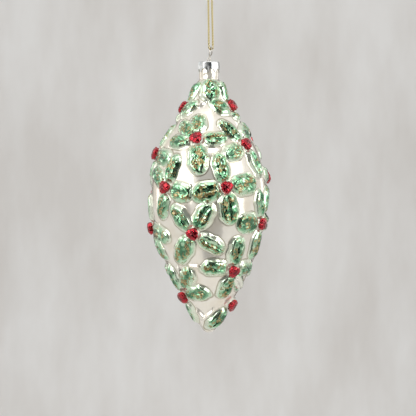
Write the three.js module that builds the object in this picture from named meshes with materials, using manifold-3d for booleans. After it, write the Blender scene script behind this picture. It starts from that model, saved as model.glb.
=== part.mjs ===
// A finial ornament of blown, silvered glass on a cord loop. The bulb is a thin shell with an open neck.
// Sprigs of four or five leaves in green lacquer stand round each cluster of red berries, a pressed metal
// cap sits over the neck, a bent wire hangs the cap, and the cord passes through the eye of the wire.
//
// Millimetres, +Z up. The origin is the inside of the cord loop at its top, where a hook holds it.
// The side towards -Y is the front. A turn is an angle about +Z in degrees, from the front towards +X.
// A drop is a distance down from the top of the cap.

import * as THREE from 'three';
import { mergeVertices } from 'three/addons/utils/BufferGeometryUtils.js';
import Module from 'manifold-3d';

// Clearances
const SEAT_GAP = 0.3;
const WIRE_HOLE_GAP = 0.4;

// Cord
const CORD_DIAMETER = 1.0;
const LOOP_LENGTH = 56;
const CORD_TURN = 20;
const TOP_BEND_RADIUS = 2.05;
const KNOT_WALL = 0.95;
const KNOT_HEIGHT = 2.4;
const KNOT_PLACE = 0.553;
const TAIL_LENGTH = 3.6;
const TAIL_DIAMETER = 0.9;
const TAIL_SPLAY = 0.5;
const TAIL_OFFSET = 0.7;

// One strand of the cord loop, from the eye of the wire up to the bend at the top: half the distance between
// the strands, and how far up the strand it is measured, as a share
const STRAND = [
  [1.08, 0.116],
  [1.05, 0.23],
  [1.0, 0.363],
  [1.0, 0.497],
  [1.02, 0.63],
  [1.15, 0.763],
  [1.5, 0.868],
  [1.9, 0.95],
];

// Hanger wire
const WIRE_DIAMETER = 0.6;
const EYE_PLAY = 0.5;
const EYE_LEAN_OFFSET = 1.0;
const CROSSING_HEIGHT = 3.4;
const CROSSING_GAP = 0.4;
const BIGHT_HEIGHT = 6.3;
const LEG_SPREAD = 1.8;
const LEG_RISE = 2.4;
const LEG_STRAIGHT = 1.1;
const LEG_LENGTH = 20;
const LEG_TIP_INSET = 1.0;

// Cap
const CAP_WALL = 0.35;
const CAP_HEIGHT = 5.7;
const CAP_CORNER_RADIUS = 0.9;
const CAP_CROWN_HEIGHT = 0.12;
const SCALLOPS = 8;
const SCALLOP_LAND = 0.6;

// Glass bulb: the shape of the bare glass between the leaves
const NECK_RADIUS = 4.95;
const NECK_END = 9.2;
const GLASS_WALL = 1.0;
const COLLAR_DROP = 12.2;
const COLLAR_RADIUS = 6.9;
const SHOULDER_DROP = 21.0;
const SHOULDER_RADIUS = 9.9;
const CONE_DROP = 33.0;
const CONE_RADIUS = 17.4;
const UPPER_DROP = 48.0;
const UPPER_RADIUS = 25.9;
const BELLY_DROP = 67.5;
const BELLY_RADIUS = 29.8;
const LOWER_RADIUS = 27.2;
const TAPER_RADIUS = 19.6;
const POINT_RADIUS = 8.9;
const TIP_DROP = 139.7;
const TIP_RADIUS = 3.2;
// Where the lower radii are measured, as shares of the way down from the belly to the tip
const LOWER_PLACE = 0.3116;
const TAPER_PLACE = 0.5886;
const POINT_PLACE = 0.8449;

// Leaves: the raised, lacquered pads. Heights are above the bare glass.
const LEAF_REACH = 16.0;
const LEAF_WIDTH = 7.5;
const LEAF_ROOT = 3.4;
const CREST_HEIGHT = 1.85;
const VEIN_HEIGHT = 1.35;
const LEAF_FOOT_WIDTH = 0.4;
const HUB_RADIUS = 2.9;
const HUB_HEIGHT = 0.8;
const LEAST_GIRTH = 1.5;
// Where a leaf has a cross-section, as a share of its length, and how much of its full height it has there
const LEAF_STATIONS = [[0.08, 0.6], [0.33, 1], [0.67, 1], [0.92, 0.85]];
const LEAF_CREST_PLACE = 0.72;
// The leaf's outline is a blunt oval: 2 would make it an ellipse
const LEAF_BLUNTNESS = 2.3;

// Berries
const BERRY_RADIUS = 1.6;
const BERRY_OVERLAP = 0.5;
const BERRY_LIFT = 1.35;
const BERRIES = 3;

// Sprigs: [name, turn, place, [[bearing, reach, width, root], ...]]. A place is a share of the outline of
// the bulb from the end of the neck to the tip, in percent. A bearing is the way that a leaf points from
// the middle of its sprig, counted from the right (0) through up (90). Its reach, width and root are in
// percent of LEAF_REACH, LEAF_WIDTH and LEAF_ROOT, and its root is 100 unless the row says otherwise.
const SPRIGS = [
  ['shoulder_1', 68, 11.1, [[184, 75, 109], [90, 88, 72], [0, 54, 88], [268, 53, 80]]],
  ['shoulder_2', 166, 11.1, [[180, 54, 88], [90, 88, 72], [0, 54, 88], [270, 53, 80]]],
  ['shoulder_3', 263, 11.6, [[354, 78, 115], [70, 90, 80], [180, 54, 88], [272, 53, 80]]],
  ['upper_1', -16, 25.1, [[138, 97, 91], [95, 91, 99], [185, 103, 93], [1, 91, 93], [279, 116, 120]]],
  ['upper_2', 48, 27.3, [[118, 100, 93], [55, 94, 93], [205, 97, 91], [295, 113, 99]]],
  ['upper_3', 123, 25.2, [[140, 94, 93], [40, 94, 93], [228, 88, 93], [318, 94, 93]]],
  ['upper_4', 198, 29.2, [[90, 94, 93], [0, 106, 100], [180, 106, 100], [270, 100, 107]]],
  ['upper_5', 273, 30.6, [[88, 106, 93], [352, 116, 96], [182, 100, 100], [264, 78, 87]]],
  ['middle_1', 16.5, 42.8, [[101, 109, 93], [7, 116, 125], [192, 106, 117], [278, 113, 117]]],
  ['middle_2', 105, 39.2, [[272, 100, 100], [165, 81, 93], [45, 72, 87], [352, 100, 100]]],
  ['middle_3', 173, 43.4, [[90, 91, 93], [0, 100, 107], [180, 106, 107], [270, 106, 107]]],
  ['middle_4', 242, 44.8, [[55, 94, 100], [140, 100, 100], [225, 106, 107], [305, 88, 100]]],
  ['middle_5', -46, 42.8, [[78, 105, 96], [346, 93, 109], [252, 100, 93], [145, 100, 93]]],
  ['lower_1', -16.5, 58.9, [[129, 109, 99], [57, 109, 109], [236, 116, 115], [328, 106, 99]]],
  ['lower_2', 64, 55.5, [[177, 103, 117], [2, 88, 100], [102, 106, 85], [270, 113, 99], [66, 128, 80, 191]]],
  ['lower_3', 134, 57.3, [[45, 100, 100], [135, 100, 100], [225, 106, 100], [315, 97, 100]]],
  ['lower_4', 202, 58.7, [[90, 100, 100], [0, 94, 107], [180, 94, 107], [270, 100, 100]]],
  ['lower_5', 270, 56.9, [[346, 128, 101], [301, 119, 96], [86, 106, 93], [180, 88, 107]]],
  ['taper_1', 34, 72.7, [[92, 109, 107], [172, 103, 99], [7, 94, 99], [265, 97, 93], [315, 94, 85]]],
  ['taper_2', 140, 73.4, [[90, 78, 93], [0, 94, 100], [180, 94, 100], [270, 81, 93]]],
  ['taper_3', 232, 72.7, [[75, 81, 93], [0, 75, 93], [180, 88, 93], [270, 81, 93]]],
  ['tip_1', -62, 83.2, [[12, 103, 91], [50, 128, 83, 191], [96, 109, 93], [258, 100, 85]]],
  ['tip_2', 70, 86.6, [[249, 94, 112], [0, 69, 87]]],
  ['tip_3', 186, 86.1, [[270, 81, 85], [170, 63, 87], [10, 63, 87]]],
];

// Single leaves round the neck, with no berries: [name, turn, place, leaf]
const NECK_LEAVES = [
  ['neck_1', 0, 9.2, [90, 76, 109, 24]],
  ['neck_2', 117, 8.9, [90, 72, 72, 24]],
  ['neck_3', 214.5, 8.9, [90, 72, 72, 24]],
];

// Facets
const BULB_SIDES = 40;
const BULB_ROWS = 22;
const BULB_INNER_ROWS = 12;
const CAP_SIDES = 40;
const ROUND_SIDES = 8;
const BERRY_SIDES = 8;
const BERRY_ROWS = 4;
const HUB_SIDES = 6;
const HUB_BEARING = 10;
const ARCH_SIDES = 12;
const CORNER_STEPS = 4;
const WIRE_SIDES = 6;
const WIRE_STEPS = 70;
const CORD_STEPS = 64;
const BIGHT_STEPS = 12;
const KNOT_SIDES = 12;

// Worked out from the sizes above
const CORD_RADIUS = CORD_DIAMETER / 2;
const WIRE_RADIUS = WIRE_DIAMETER / 2;
const BIGHT_RADIUS = WIRE_RADIUS + CORD_RADIUS + SEAT_GAP;
const LOOP_TOP = CORD_RADIUS;
const BIGHT_BOTTOM = LOOP_TOP - LOOP_LENGTH;
const BIGHT_CENTRE = BIGHT_BOTTOM + BIGHT_RADIUS;
const STRAND_LOW = BIGHT_CENTRE + SEAT_GAP;
const STRAND_HIGH = LOOP_TOP - TOP_BEND_RADIUS;
const EYE_HALF_WIDTH = CORD_RADIUS + EYE_PLAY + WIRE_RADIUS;
const EYE_TOP = BIGHT_HEIGHT + BIGHT_RADIUS;
const CAP_TOP = BIGHT_BOTTOM - BIGHT_HEIGHT;
const CAP_RADIUS = NECK_RADIUS + SEAT_GAP + CAP_WALL;
const LOWER_DROP = BELLY_DROP + LOWER_PLACE * (TIP_DROP - BELLY_DROP);
const TAPER_DROP = BELLY_DROP + TAPER_PLACE * (TIP_DROP - BELLY_DROP);
const POINT_DROP = BELLY_DROP + POINT_PLACE * (TIP_DROP - BELLY_DROP);
const NECK_TOP_DROP = CAP_WALL + CAP_CROWN_HEIGHT + SEAT_GAP;
const BORE_RADIUS = NECK_RADIUS - GLASS_WALL;
const LEG_REACH = BORE_RADIUS - SEAT_GAP - WIRE_RADIUS;
const BERRY_BASE = HUB_HEIGHT + SEAT_GAP;
const BERRY_SPREAD = (2 * BERRY_RADIUS - BERRY_OVERLAP) / (2 * Math.sin(Math.PI / BERRIES));

const wasm = await Module();
wasm.setup();

const radians = THREE.MathUtils.degToRad;

/** Turns a closed geometry into a solid that can be joined and cut. */
function solid(geometry) {
  const bare = geometry.index ? geometry.clone() : geometry;
  bare.deleteAttribute('normal');
  bare.deleteAttribute('uv');
  const merged = mergeVertices(bare, 1e-5);
  return new wasm.Manifold(new wasm.Mesh({
    numProp: 3,
    vertProperties: Float32Array.from(merged.attributes.position.array),
    triVerts: Uint32Array.from(merged.index.array),
  }));
}

/** Turns a joined or cut solid back into a geometry. */
function shape(body) {
  const mesh = body.getMesh();
  const geometry = new THREE.BufferGeometry();
  const places = new Float32Array(mesh.numVert * 3);
  for (let i = 0; i < mesh.numVert; i += 1) {
    for (let k = 0; k < 3; k += 1) places[3 * i + k] = mesh.vertProperties[i * mesh.numProp + k];
  }
  geometry.setAttribute('position', new THREE.BufferAttribute(places, 3));
  geometry.setIndex(Array.from(mesh.triVerts));
  return geometry;
}

/** Joins several solids into one. */
function join(bodies) {
  return bodies.reduce((sum, body) => sum.add(body));
}

/** Names a mesh, gives it its material and adds it to the model. */
function piece(model, name, geometry, material) {
  const mesh = new THREE.Mesh(geometry, material);
  mesh.name = name;
  model.add(mesh);
  return mesh;
}

/** A lathe about +Z from [radius, height] points, with the seam at the back. */
function turned(points, sides) {
  const lathe = new THREE.LatheGeometry(points.map(([r, z]) => new THREE.Vector2(r, z)), sides, Math.PI);
  return lathe.rotateX(Math.PI / 2);
}

/** A round section for tubes. */
function roundSection(radius, sides = ROUND_SIDES) {
  const section = new THREE.Shape();
  for (let k = 0; k < sides; k += 1) {
    const angle = (2 * Math.PI * k) / sides;
    const [x, y] = [radius * Math.cos(angle), radius * Math.sin(angle)];
    if (k === 0) section.moveTo(x, y);
    else section.lineTo(x, y);
  }
  section.closePath();
  return section;
}

/** A tube of a round section along a curve. */
function tube(curve, radius, steps, sides = ROUND_SIDES) {
  const sweep = { extrudePath: curve, steps, curveSegments: 1 };
  return new THREE.ExtrudeGeometry(roundSection(radius, sides), sweep);
}

// The bare outside of the bulb, from the end of the neck to the tip, as radius and height below the cap top
const BULB_CURVE = new THREE.SplineCurve([
  [NECK_RADIUS, NECK_END],
  [COLLAR_RADIUS, COLLAR_DROP],
  [SHOULDER_RADIUS, SHOULDER_DROP],
  [CONE_RADIUS, CONE_DROP],
  [UPPER_RADIUS, UPPER_DROP],
  [BELLY_RADIUS, BELLY_DROP],
  [LOWER_RADIUS, LOWER_DROP],
  [TAPER_RADIUS, TAPER_DROP],
  [POINT_RADIUS, POINT_DROP],
  [TIP_RADIUS, TIP_DROP - TIP_RADIUS / 2],
  [0, TIP_DROP],
].map(([radius, drop]) => new THREE.Vector2(radius, -drop)));
BULB_CURVE.arcLengthDivisions = 600;
const BULB_ARC = BULB_CURVE.getLength();

/** The bare glass at a distance along the bulb's outline: its point and its outward normal. */
function outlineAt(along) {
  const share = THREE.MathUtils.clamp(along / BULB_ARC, 0, 1);
  const point = BULB_CURVE.getPointAt(share);
  const tangent = BULB_CURVE.getTangentAt(share);
  return { point, normal: new THREE.Vector2(-tangent.y, tangent.x) };
}

/** A point over the glass: turn in radians, distance along the outline and height above the bare glass. */
function onGlass(turn, along, lift) {
  const { point, normal } = outlineAt(along);
  const radius = point.x + normal.x * lift;
  return new THREE.Vector3(
    radius * Math.sin(turn),
    -radius * Math.cos(turn),
    CAP_TOP + point.y + normal.y * lift,
  );
}

/** The blown shell: one wall thick, closed at the tip and open at the neck. */
function glassBody() {
  const outer = [];
  const inner = [];
  for (let k = 0; k <= BULB_ROWS; k += 1) {
    const { point } = outlineAt(BULB_ARC * (1 - k / BULB_ROWS));
    outer.push([k === 0 ? 0 : point.x, CAP_TOP + point.y]);
  }
  for (let k = 0; k < BULB_INNER_ROWS; k += 1) {
    const { point, normal } = outlineAt((BULB_ARC * k) / BULB_INNER_ROWS);
    inner.push([point.x - GLASS_WALL * normal.x, CAP_TOP + point.y - GLASS_WALL * normal.y]);
  }
  inner[0] = [BORE_RADIUS, CAP_TOP - NECK_END - GLASS_WALL / 2];
  const lip = CAP_TOP - NECK_TOP_DROP;
  return turned([
    ...outer,
    [NECK_RADIUS, lip],
    [BORE_RADIUS, lip],
    ...inner,
    [0, CAP_TOP - TIP_DROP + GLASS_WALL],
  ], BULB_SIDES);
}

/** The half width of a leaf at a share of its length from root to tip. */
function ovalHalf(share, width) {
  const bulge = 1 - Math.abs(2 * share - 1) ** LEAF_BLUNTNESS;
  return 0.5 * width * bulge ** (1 / LEAF_BLUNTNESS);
}

/** Places points of one sprig: forward along a bearing, aside of it, and over the bare glass. */
function sprigPlacer(turn, along, bearing) {
  const way = radians(bearing);
  const north = (forward, aside) => forward * Math.sin(way) + aside * Math.cos(way);
  const girth = (forward, aside) => Math.max(outlineAt(along - north(forward, aside)).point.x, LEAST_GIRTH);
  return {
    girth,
    at: (forward, aside, lift) => {
      const east = forward * Math.cos(way) - aside * Math.sin(way);
      return onGlass(turn + east / girth(forward, aside), along - north(forward, aside), lift);
    },
  };
}

/** One leaf: a closed pad over the glass, with a sloping foot and a crest on each side of its vein. */
function leafSolid(turn, along, [bearing, reachShare, widthShare, rootShare = 100]) {
  const { at, girth } = sprigPlacer(turn, along, bearing);
  const reach = (LEAF_REACH * reachShare) / 100;
  const width = (LEAF_WIDTH * widthShare) / 100;
  const root = (LEAF_ROOT * rootShare) / 100;
  const places = [];
  const add = (point) => places.push(point) - 1;
  const tail = add(at(Math.min(root, HUB_RADIUS / 2), 0, (SEAT_GAP + HUB_HEIGHT) / 2));
  const rings = LEAF_STATIONS.map(([share, rise]) => {
    const forward = root + share * (reach - root);
    const half = ovalHalf(share, width);
    const foot = half + LEAF_FOOT_WIDTH;
    // A flat facet under the leaf needs more room over the round glass where the leaf is wide
    const seat = SEAT_GAP + foot ** 2 / (8 * girth(forward, 0));
    return [
      add(at(forward, foot, seat)),
      add(at(forward, LEAF_CREST_PLACE * half, rise * CREST_HEIGHT)),
      add(at(forward, 0, rise * VEIN_HEIGHT)),
      add(at(forward, -LEAF_CREST_PLACE * half, rise * CREST_HEIGHT)),
      add(at(forward, -foot, seat)),
      add(at(forward, 0, seat)),
    ];
  });
  const tip = add(at(reach + LEAF_FOOT_WIDTH, 0, (SEAT_GAP + HUB_HEIGHT) / 2));
  const faces = [];
  const last = rings[rings.length - 1];
  for (let k = 0; k < 6; k += 1) {
    const next = (k + 1) % 6;
    faces.push([tail, rings[0][next], rings[0][k]]);
    faces.push([tip, last[k], last[next]]);
    for (let r = 0; r + 1 < rings.length; r += 1) {
      faces.push([rings[r][k], rings[r][next], rings[r + 1][next]]);
      faces.push([rings[r][k], rings[r + 1][next], rings[r + 1][k]]);
    }
  }
  const geometry = new THREE.BufferGeometry().setFromPoints(places);
  geometry.setIndex(faces.flat());
  return solid(geometry);
}

/** The low pad in the middle of a sprig, where its leaves meet under the berries. */
function hubSolid(turn, along) {
  const { at } = sprigPlacer(turn, along, HUB_BEARING);
  const places = [at(0, 0, SEAT_GAP), at(0, 0, HUB_HEIGHT)];
  for (let k = 0; k < HUB_SIDES; k += 1) {
    const angle = (2 * Math.PI * k) / HUB_SIDES;
    const [forward, aside] = [HUB_RADIUS * Math.cos(angle), HUB_RADIUS * Math.sin(angle)];
    places.push(at(forward, aside, SEAT_GAP), at(forward, aside, HUB_HEIGHT));
  }
  const faces = [];
  for (let k = 0; k < HUB_SIDES; k += 1) {
    const [low, high] = [2 + 2 * k, 3 + 2 * k];
    const [nextLow, nextHigh] = [2 + 2 * ((k + 1) % HUB_SIDES), 3 + 2 * ((k + 1) % HUB_SIDES)];
    faces.push([0, nextLow, low], [1, high, nextHigh], [low, nextLow, nextHigh], [low, nextHigh, high]);
  }
  const geometry = new THREE.BufferGeometry().setFromPoints(places);
  geometry.setIndex(faces.flat());
  return solid(geometry);
}

/** A cluster of berries, cut flat where it sits on the hub. */
function berrySolid(turn, along, spin) {
  const middle = onGlass(turn, along, 0);
  const out = onGlass(turn, along, 1).sub(middle).normalize();
  const east = new THREE.Vector3(Math.cos(turn), Math.sin(turn), 0);
  const north = new THREE.Vector3().crossVectors(out, east).normalize();
  const frame = new THREE.Matrix4().makeBasis(east, north, out).setPosition(middle);
  const berries = [];
  for (let k = 0; k < BERRIES; k += 1) {
    const angle = spin + (2 * Math.PI * k) / BERRIES;
    const ball = new THREE.SphereGeometry(BERRY_RADIUS, BERRY_SIDES, BERRY_ROWS).rotateX(Math.PI / 2);
    ball.translate(BERRY_SPREAD * Math.cos(angle), BERRY_SPREAD * Math.sin(angle), BERRY_BASE + BERRY_LIFT);
    berries.push(solid(ball));
  }
  const side = 4 * (BERRY_SPREAD + BERRY_RADIUS);
  const below = solid(new THREE.BoxGeometry(side, side, side).translate(0, 0, BERRY_BASE - side / 2));
  return shape(join(berries).subtract(below)).applyMatrix4(frame);
}

/** The pressed cap: a thin cup with a scalloped skirt and two holes for the wire. */
function capBody() {
  const corner = [];
  for (let k = 0; k <= CORNER_STEPS; k += 1) {
    const angle = (Math.PI / 2) * (k / CORNER_STEPS);
    corner.push([
      CAP_RADIUS - CAP_CORNER_RADIUS + CAP_CORNER_RADIUS * Math.cos(angle),
      -CAP_CROWN_HEIGHT - CAP_CORNER_RADIUS + CAP_CORNER_RADIUS * Math.sin(angle),
    ]);
  }
  const insideCorner = CAP_CORNER_RADIUS - CAP_WALL;
  const cup = solid(turned([
    [0, -CAP_WALL],
    [CAP_RADIUS - CAP_CORNER_RADIUS, -CAP_WALL - CAP_CROWN_HEIGHT],
    [CAP_RADIUS - CAP_WALL, -CAP_WALL - CAP_CROWN_HEIGHT - insideCorner],
    [CAP_RADIUS - CAP_WALL, -CAP_HEIGHT],
    [CAP_RADIUS, -CAP_HEIGHT],
    ...corner,
    [0, 0],
  ], CAP_SIDES));
  const pitch = (2 * Math.PI * CAP_RADIUS) / SCALLOPS;
  const arch = (pitch - SCALLOP_LAND) / 2;
  const cuts = [];
  for (let k = 0; k < SCALLOPS; k += 1) {
    const notch = new THREE.CylinderGeometry(arch, arch, CAP_RADIUS, ARCH_SIDES);
    notch.translate(0, -CAP_RADIUS, 0).rotateZ((2 * Math.PI * (k + 0.5)) / SCALLOPS);
    cuts.push(solid(notch.translate(0, 0, -CAP_HEIGHT)));
  }
  const holeRadius = WIRE_RADIUS + WIRE_HOLE_GAP;
  for (const side of [-1, 1]) {
    const hole = new THREE.CylinderGeometry(holeRadius, holeRadius, CAP_CORNER_RADIUS, ARCH_SIDES);
    const [x, y] = hangerPlace(side * LEG_SPREAD);
    cuts.push(solid(hole.rotateX(Math.PI / 2).translate(x, y, 0)));
  }
  return shape(cuts.reduce((body, cut) => body.subtract(cut), cup)).translate(0, 0, CAP_TOP);
}

/** Where a point lies in plan that is so far aside in the plane of the hanger, and so far off that plane. */
function hangerPlace(aside, off = 0) {
  const turn = radians(CORD_TURN + 90);
  return [
    aside * Math.cos(turn) + off * Math.sin(turn),
    aside * Math.sin(turn) - off * Math.cos(turn),
  ];
}

/** The wire: up one leg, across, round the eye, across again and down the other leg. */
function hangerWire() {
  const off = (WIRE_DIAMETER + CROSSING_GAP) / 2;
  const eyeHeight = EYE_TOP - CROSSING_HEIGHT;
  // Half of the way, from the tip of a leg to the top of the eye: [aside, height over the cap, off, lean].
  // Inside the neck the legs spring out to its bore. Off is away from the plane of the hanger, and lean is
  // how much of the whole lean of the eye a point has.
  const half = [
    [LEG_REACH - LEG_TIP_INSET, -LEG_LENGTH, 0, 0],
    [LEG_REACH, -0.8 * LEG_LENGTH, 0, 0],
    [LEG_REACH, -0.5 * LEG_LENGTH, 0, 0],
    [LEG_REACH, -4 * LEG_STRAIGHT, 0, 0],
    [(LEG_SPREAD + LEG_REACH) / 2, -2 * LEG_STRAIGHT, 0, 0],
    [LEG_SPREAD, -LEG_STRAIGHT, 0, 0],
    [LEG_SPREAD, 0, 0, 0],
    [LEG_SPREAD, 0.6 * LEG_RISE, 0.2 * off, 0.05],
    [0.8 * LEG_SPREAD, LEG_RISE, 0.6 * off, 0.3],
    [0, CROSSING_HEIGHT, off, 0.55],
    [-0.75 * EYE_HALF_WIDTH, CROSSING_HEIGHT + 0.19 * eyeHeight, 0.6 * off, 0.8],
    [-EYE_HALF_WIDTH, CROSSING_HEIGHT + 0.58 * eyeHeight, 0.25 * off, 0.95],
    [-0.72 * EYE_HALF_WIDTH, CROSSING_HEIGHT + 0.89 * eyeHeight, 0.08 * off, 1],
  ];
  const points = [];
  for (const side of [1, -1]) {
    const way = half.map(([aside, height, offPlane, lean]) => {
      const [x, y] = hangerPlace(side * aside, side * offPlane);
      return new THREE.Vector3(x + EYE_LEAN_OFFSET * lean, y, CAP_TOP + height);
    });
    if (side === 1) points.push(...way, new THREE.Vector3(EYE_LEAN_OFFSET, 0, CAP_TOP + EYE_TOP));
    else points.push(...way.reverse());
  }
  const curve = new THREE.CatmullRomCurve3(points, false, 'centripetal');
  return tube(curve, WIRE_RADIUS, WIRE_STEPS, WIRE_SIDES);
}

/** A point in the plane of the cord loop, leaning back from over the eye to over the origin. */
function cordPlace(aside, z) {
  const turn = radians(CORD_TURN);
  const lean = (EYE_LEAN_OFFSET * (LOOP_TOP - z)) / LOOP_LENGTH;
  return new THREE.Vector3(aside * Math.cos(turn) + lean, aside * Math.sin(turn), z);
}

/** The cord loop: up one strand, over the top and down the other. */
function cordCurve() {
  const slant = Math.SQRT1_2;
  const strand = [
    [BIGHT_RADIUS, STRAND_LOW],
    [BIGHT_RADIUS, STRAND_LOW + 2 * CORD_DIAMETER],
    ...STRAND.map(([aside, share]) => [aside, STRAND_LOW + share * (STRAND_HIGH - STRAND_LOW)]),
    [TOP_BEND_RADIUS, STRAND_HIGH],
    [slant * TOP_BEND_RADIUS, STRAND_HIGH + slant * TOP_BEND_RADIUS],
  ];
  const up = strand.map(([aside, z]) => cordPlace(-aside, z));
  const down = strand.map(([aside, z]) => cordPlace(aside, z)).reverse();
  return new THREE.CatmullRomCurve3([...up, cordPlace(0, LOOP_TOP), ...down], false, 'centripetal');
}

/** The bend of the cord that passes through the eye. */
function cordBight() {
  const points = [];
  for (let k = 0; k <= ROUND_SIDES; k += 1) {
    const angle = Math.PI * (1 + k / ROUND_SIDES);
    points.push(cordPlace(BIGHT_RADIUS * Math.cos(angle), BIGHT_CENTRE + BIGHT_RADIUS * Math.sin(angle)));
  }
  return tube(new THREE.CatmullRomCurve3(points), CORD_RADIUS, BIGHT_STEPS);
}

/** The knot that closes the loop: a barrel round one strand, with the two cut ends standing out of it. */
function cordKnot() {
  const bore = CORD_RADIUS + SEAT_GAP;
  const rim = bore + KNOT_WALL / 2;
  const wall = bore + KNOT_WALL;
  const half = KNOT_HEIGHT / 2;
  const barrel = solid(turned([
    [bore, half],
    [bore, -half],
    [rim, -half],
    [wall, -half / 2],
    [wall, half / 2],
    [rim, half],
    [bore, half],
  ], KNOT_SIDES));
  const tails = [-1, 1].map((side) => {
    const tail = new THREE.CylinderGeometry(TAIL_DIAMETER / 2, TAIL_DIAMETER / 2, TAIL_LENGTH, ROUND_SIDES);
    tail.translate(0, TAIL_LENGTH / 2 + bore + SEAT_GAP, 0).rotateZ(-Math.PI / 2 + side * TAIL_SPLAY);
    return solid(tail.translate(0, 0, side * TAIL_OFFSET));
  });
  const strand = cordCurve();
  const up = strand.getTangentAt(KNOT_PLACE).negate();
  const turn = new THREE.Quaternion().setFromUnitVectors(new THREE.Vector3(0, 0, 1), up);
  const middle = strand.getPointAt(KNOT_PLACE);
  return shape(join([barrel, ...tails])).applyQuaternion(turn).translate(middle.x, middle.y, middle.z);
}

const glass = new THREE.MeshStandardMaterial({ color: 0xe4e0d6, roughness: 0.08, metalness: 1 });
const lacquer = new THREE.MeshStandardMaterial({ color: 0x6bb08c, roughness: 0.12, metalness: 0.7 });
const enamel = new THREE.MeshStandardMaterial({ color: 0xd8102f, roughness: 0.1, metalness: 0.2 });
const tin = new THREE.MeshStandardMaterial({ color: 0xc9cbcc, roughness: 0.12, metalness: 1 });
const steel = new THREE.MeshStandardMaterial({ color: 0xa8a49c, roughness: 0.25, metalness: 1 });
const thread = new THREE.MeshStandardMaterial({ color: 0xc8b878, roughness: 0.45, metalness: 0.6 });

const ornament = new THREE.Group();
piece(ornament, 'cord_loop', tube(cordCurve(), CORD_RADIUS, CORD_STEPS), thread);
piece(ornament, 'cord_bight', cordBight(), thread);
piece(ornament, 'cord_knot', cordKnot(), thread);
piece(ornament, 'hanger_wire', hangerWire(), steel);
piece(ornament, 'cap', capBody(), tin);
piece(ornament, 'glass_body', glassBody(), glass);

for (const [name, turn, place, leaves] of SPRIGS) {
  const [angle, along] = [radians(turn), (BULB_ARC * place) / 100];
  const sprig = join([hubSolid(angle, along), ...leaves.map((leaf) => leafSolid(angle, along, leaf))]);
  piece(ornament, `leaves_${name}`, shape(sprig), lacquer);
  piece(ornament, `berries_${name}`, berrySolid(angle, along, radians(leaves[0][0] + 45)), enamel);
}
for (const [name, turn, place, leaf] of NECK_LEAVES) {
  piece(ornament, `leaf_${name}`, shape(leafSolid(radians(turn), (BULB_ARC * place) / 100, leaf)), lacquer);
}

export default ornament;
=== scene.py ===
"""A finial ornament of blown, silvered glass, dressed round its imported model.

Every piece is in metres, +Z up, in the frame of the model: the origin is the inside of the cord loop at its
top, and -Y is the front. Sizes in the classes are millimetres, as a maker measures them.
"""

import logging
import math
from dataclasses import dataclass, field
from enum import Enum
from typing import Any

import bmesh
import bpy
import numpy as np
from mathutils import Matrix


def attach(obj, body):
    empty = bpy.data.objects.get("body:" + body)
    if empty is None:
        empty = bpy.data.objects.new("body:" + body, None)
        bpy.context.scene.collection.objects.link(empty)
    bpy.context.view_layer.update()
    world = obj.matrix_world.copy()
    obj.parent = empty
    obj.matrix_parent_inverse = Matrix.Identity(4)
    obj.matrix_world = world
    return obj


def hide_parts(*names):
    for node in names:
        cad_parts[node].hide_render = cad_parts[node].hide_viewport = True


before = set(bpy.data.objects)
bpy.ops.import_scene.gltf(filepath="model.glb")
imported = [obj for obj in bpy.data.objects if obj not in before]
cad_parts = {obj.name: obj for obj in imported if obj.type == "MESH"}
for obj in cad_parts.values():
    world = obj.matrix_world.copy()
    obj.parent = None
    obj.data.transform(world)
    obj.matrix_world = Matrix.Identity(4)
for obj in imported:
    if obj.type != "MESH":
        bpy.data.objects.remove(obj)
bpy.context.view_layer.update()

LOG = logging.getLogger("ornament")
MM = 0.001


class Body(Enum):
    """The rigid bodies that pieces ride on."""

    CORD = "cord"
    HANGER = "hanger"
    CAP = "cap"
    GLASS = "glass"


class Slot(Enum):
    """The material slots of the record."""

    CORD = "cord"
    WIRE = "wire"
    CAP = "cap"
    GLASS = "glass"
    LEAF = "leaf"
    BERRY = "berry"


# Colour and nodes


def linear(colour: str) -> tuple[float, float, float, float]:
    """Turns an sRGB hex colour into the linear one that the shader takes.

    Args:
        colour: six hex digits.

    Returns:
        Red, green, blue and an alpha of 1.
    """
    channels = [int(colour[k : k + 2], 16) / 255 for k in (0, 2, 4)]
    red, green, blue = [c / 12.92 if c <= 0.04045 else ((c + 0.055) / 1.055) ** 2.4 for c in channels]
    return red, green, blue, 1.0


def repeats(size_mm: float) -> float:
    """The scale of a pattern whose marks are this many millimetres across."""
    return 1 / (size_mm * MM)


def add_node(
    tree: bpy.types.NodeTree,
    kind: str,
    inputs: dict[Any, Any] | None = None,
    stops: tuple[tuple[float, str], ...] = (),
    **settings: Any,
) -> bpy.types.Node:
    """Adds one shader node with its settings, its ramp's stops and its inputs.

    Args:
        tree: the node tree that gets it.
        kind: the node's type, without the words that every type starts with.
        inputs: input name or number to a value, a socket, or a node, whose first output in use is linked.
        stops: places and hex colours, for a colour ramp.
        **settings: the node's own properties.

    Returns:
        The new node.
    """
    node = tree.nodes.new("ShaderNode" + kind)
    for name, value in settings.items():
        setattr(node, name, value)
    while stops and len(node.color_ramp.elements) < len(stops):
        node.color_ramp.elements.new(1.0)
    for element, (place, colour) in zip(node.color_ramp.elements if stops else (), stops):
        element.position = place
        element.color = linear(colour)
    for name, value in (inputs or {}).items():
        if isinstance(value, bpy.types.Node):
            value = next(socket for socket in value.outputs if socket.enabled)
        if isinstance(value, bpy.types.NodeSocket):
            tree.links.new(value, node.inputs[name])
        else:
            node.inputs[name].default_value = value
    return node


# Finishes


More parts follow.
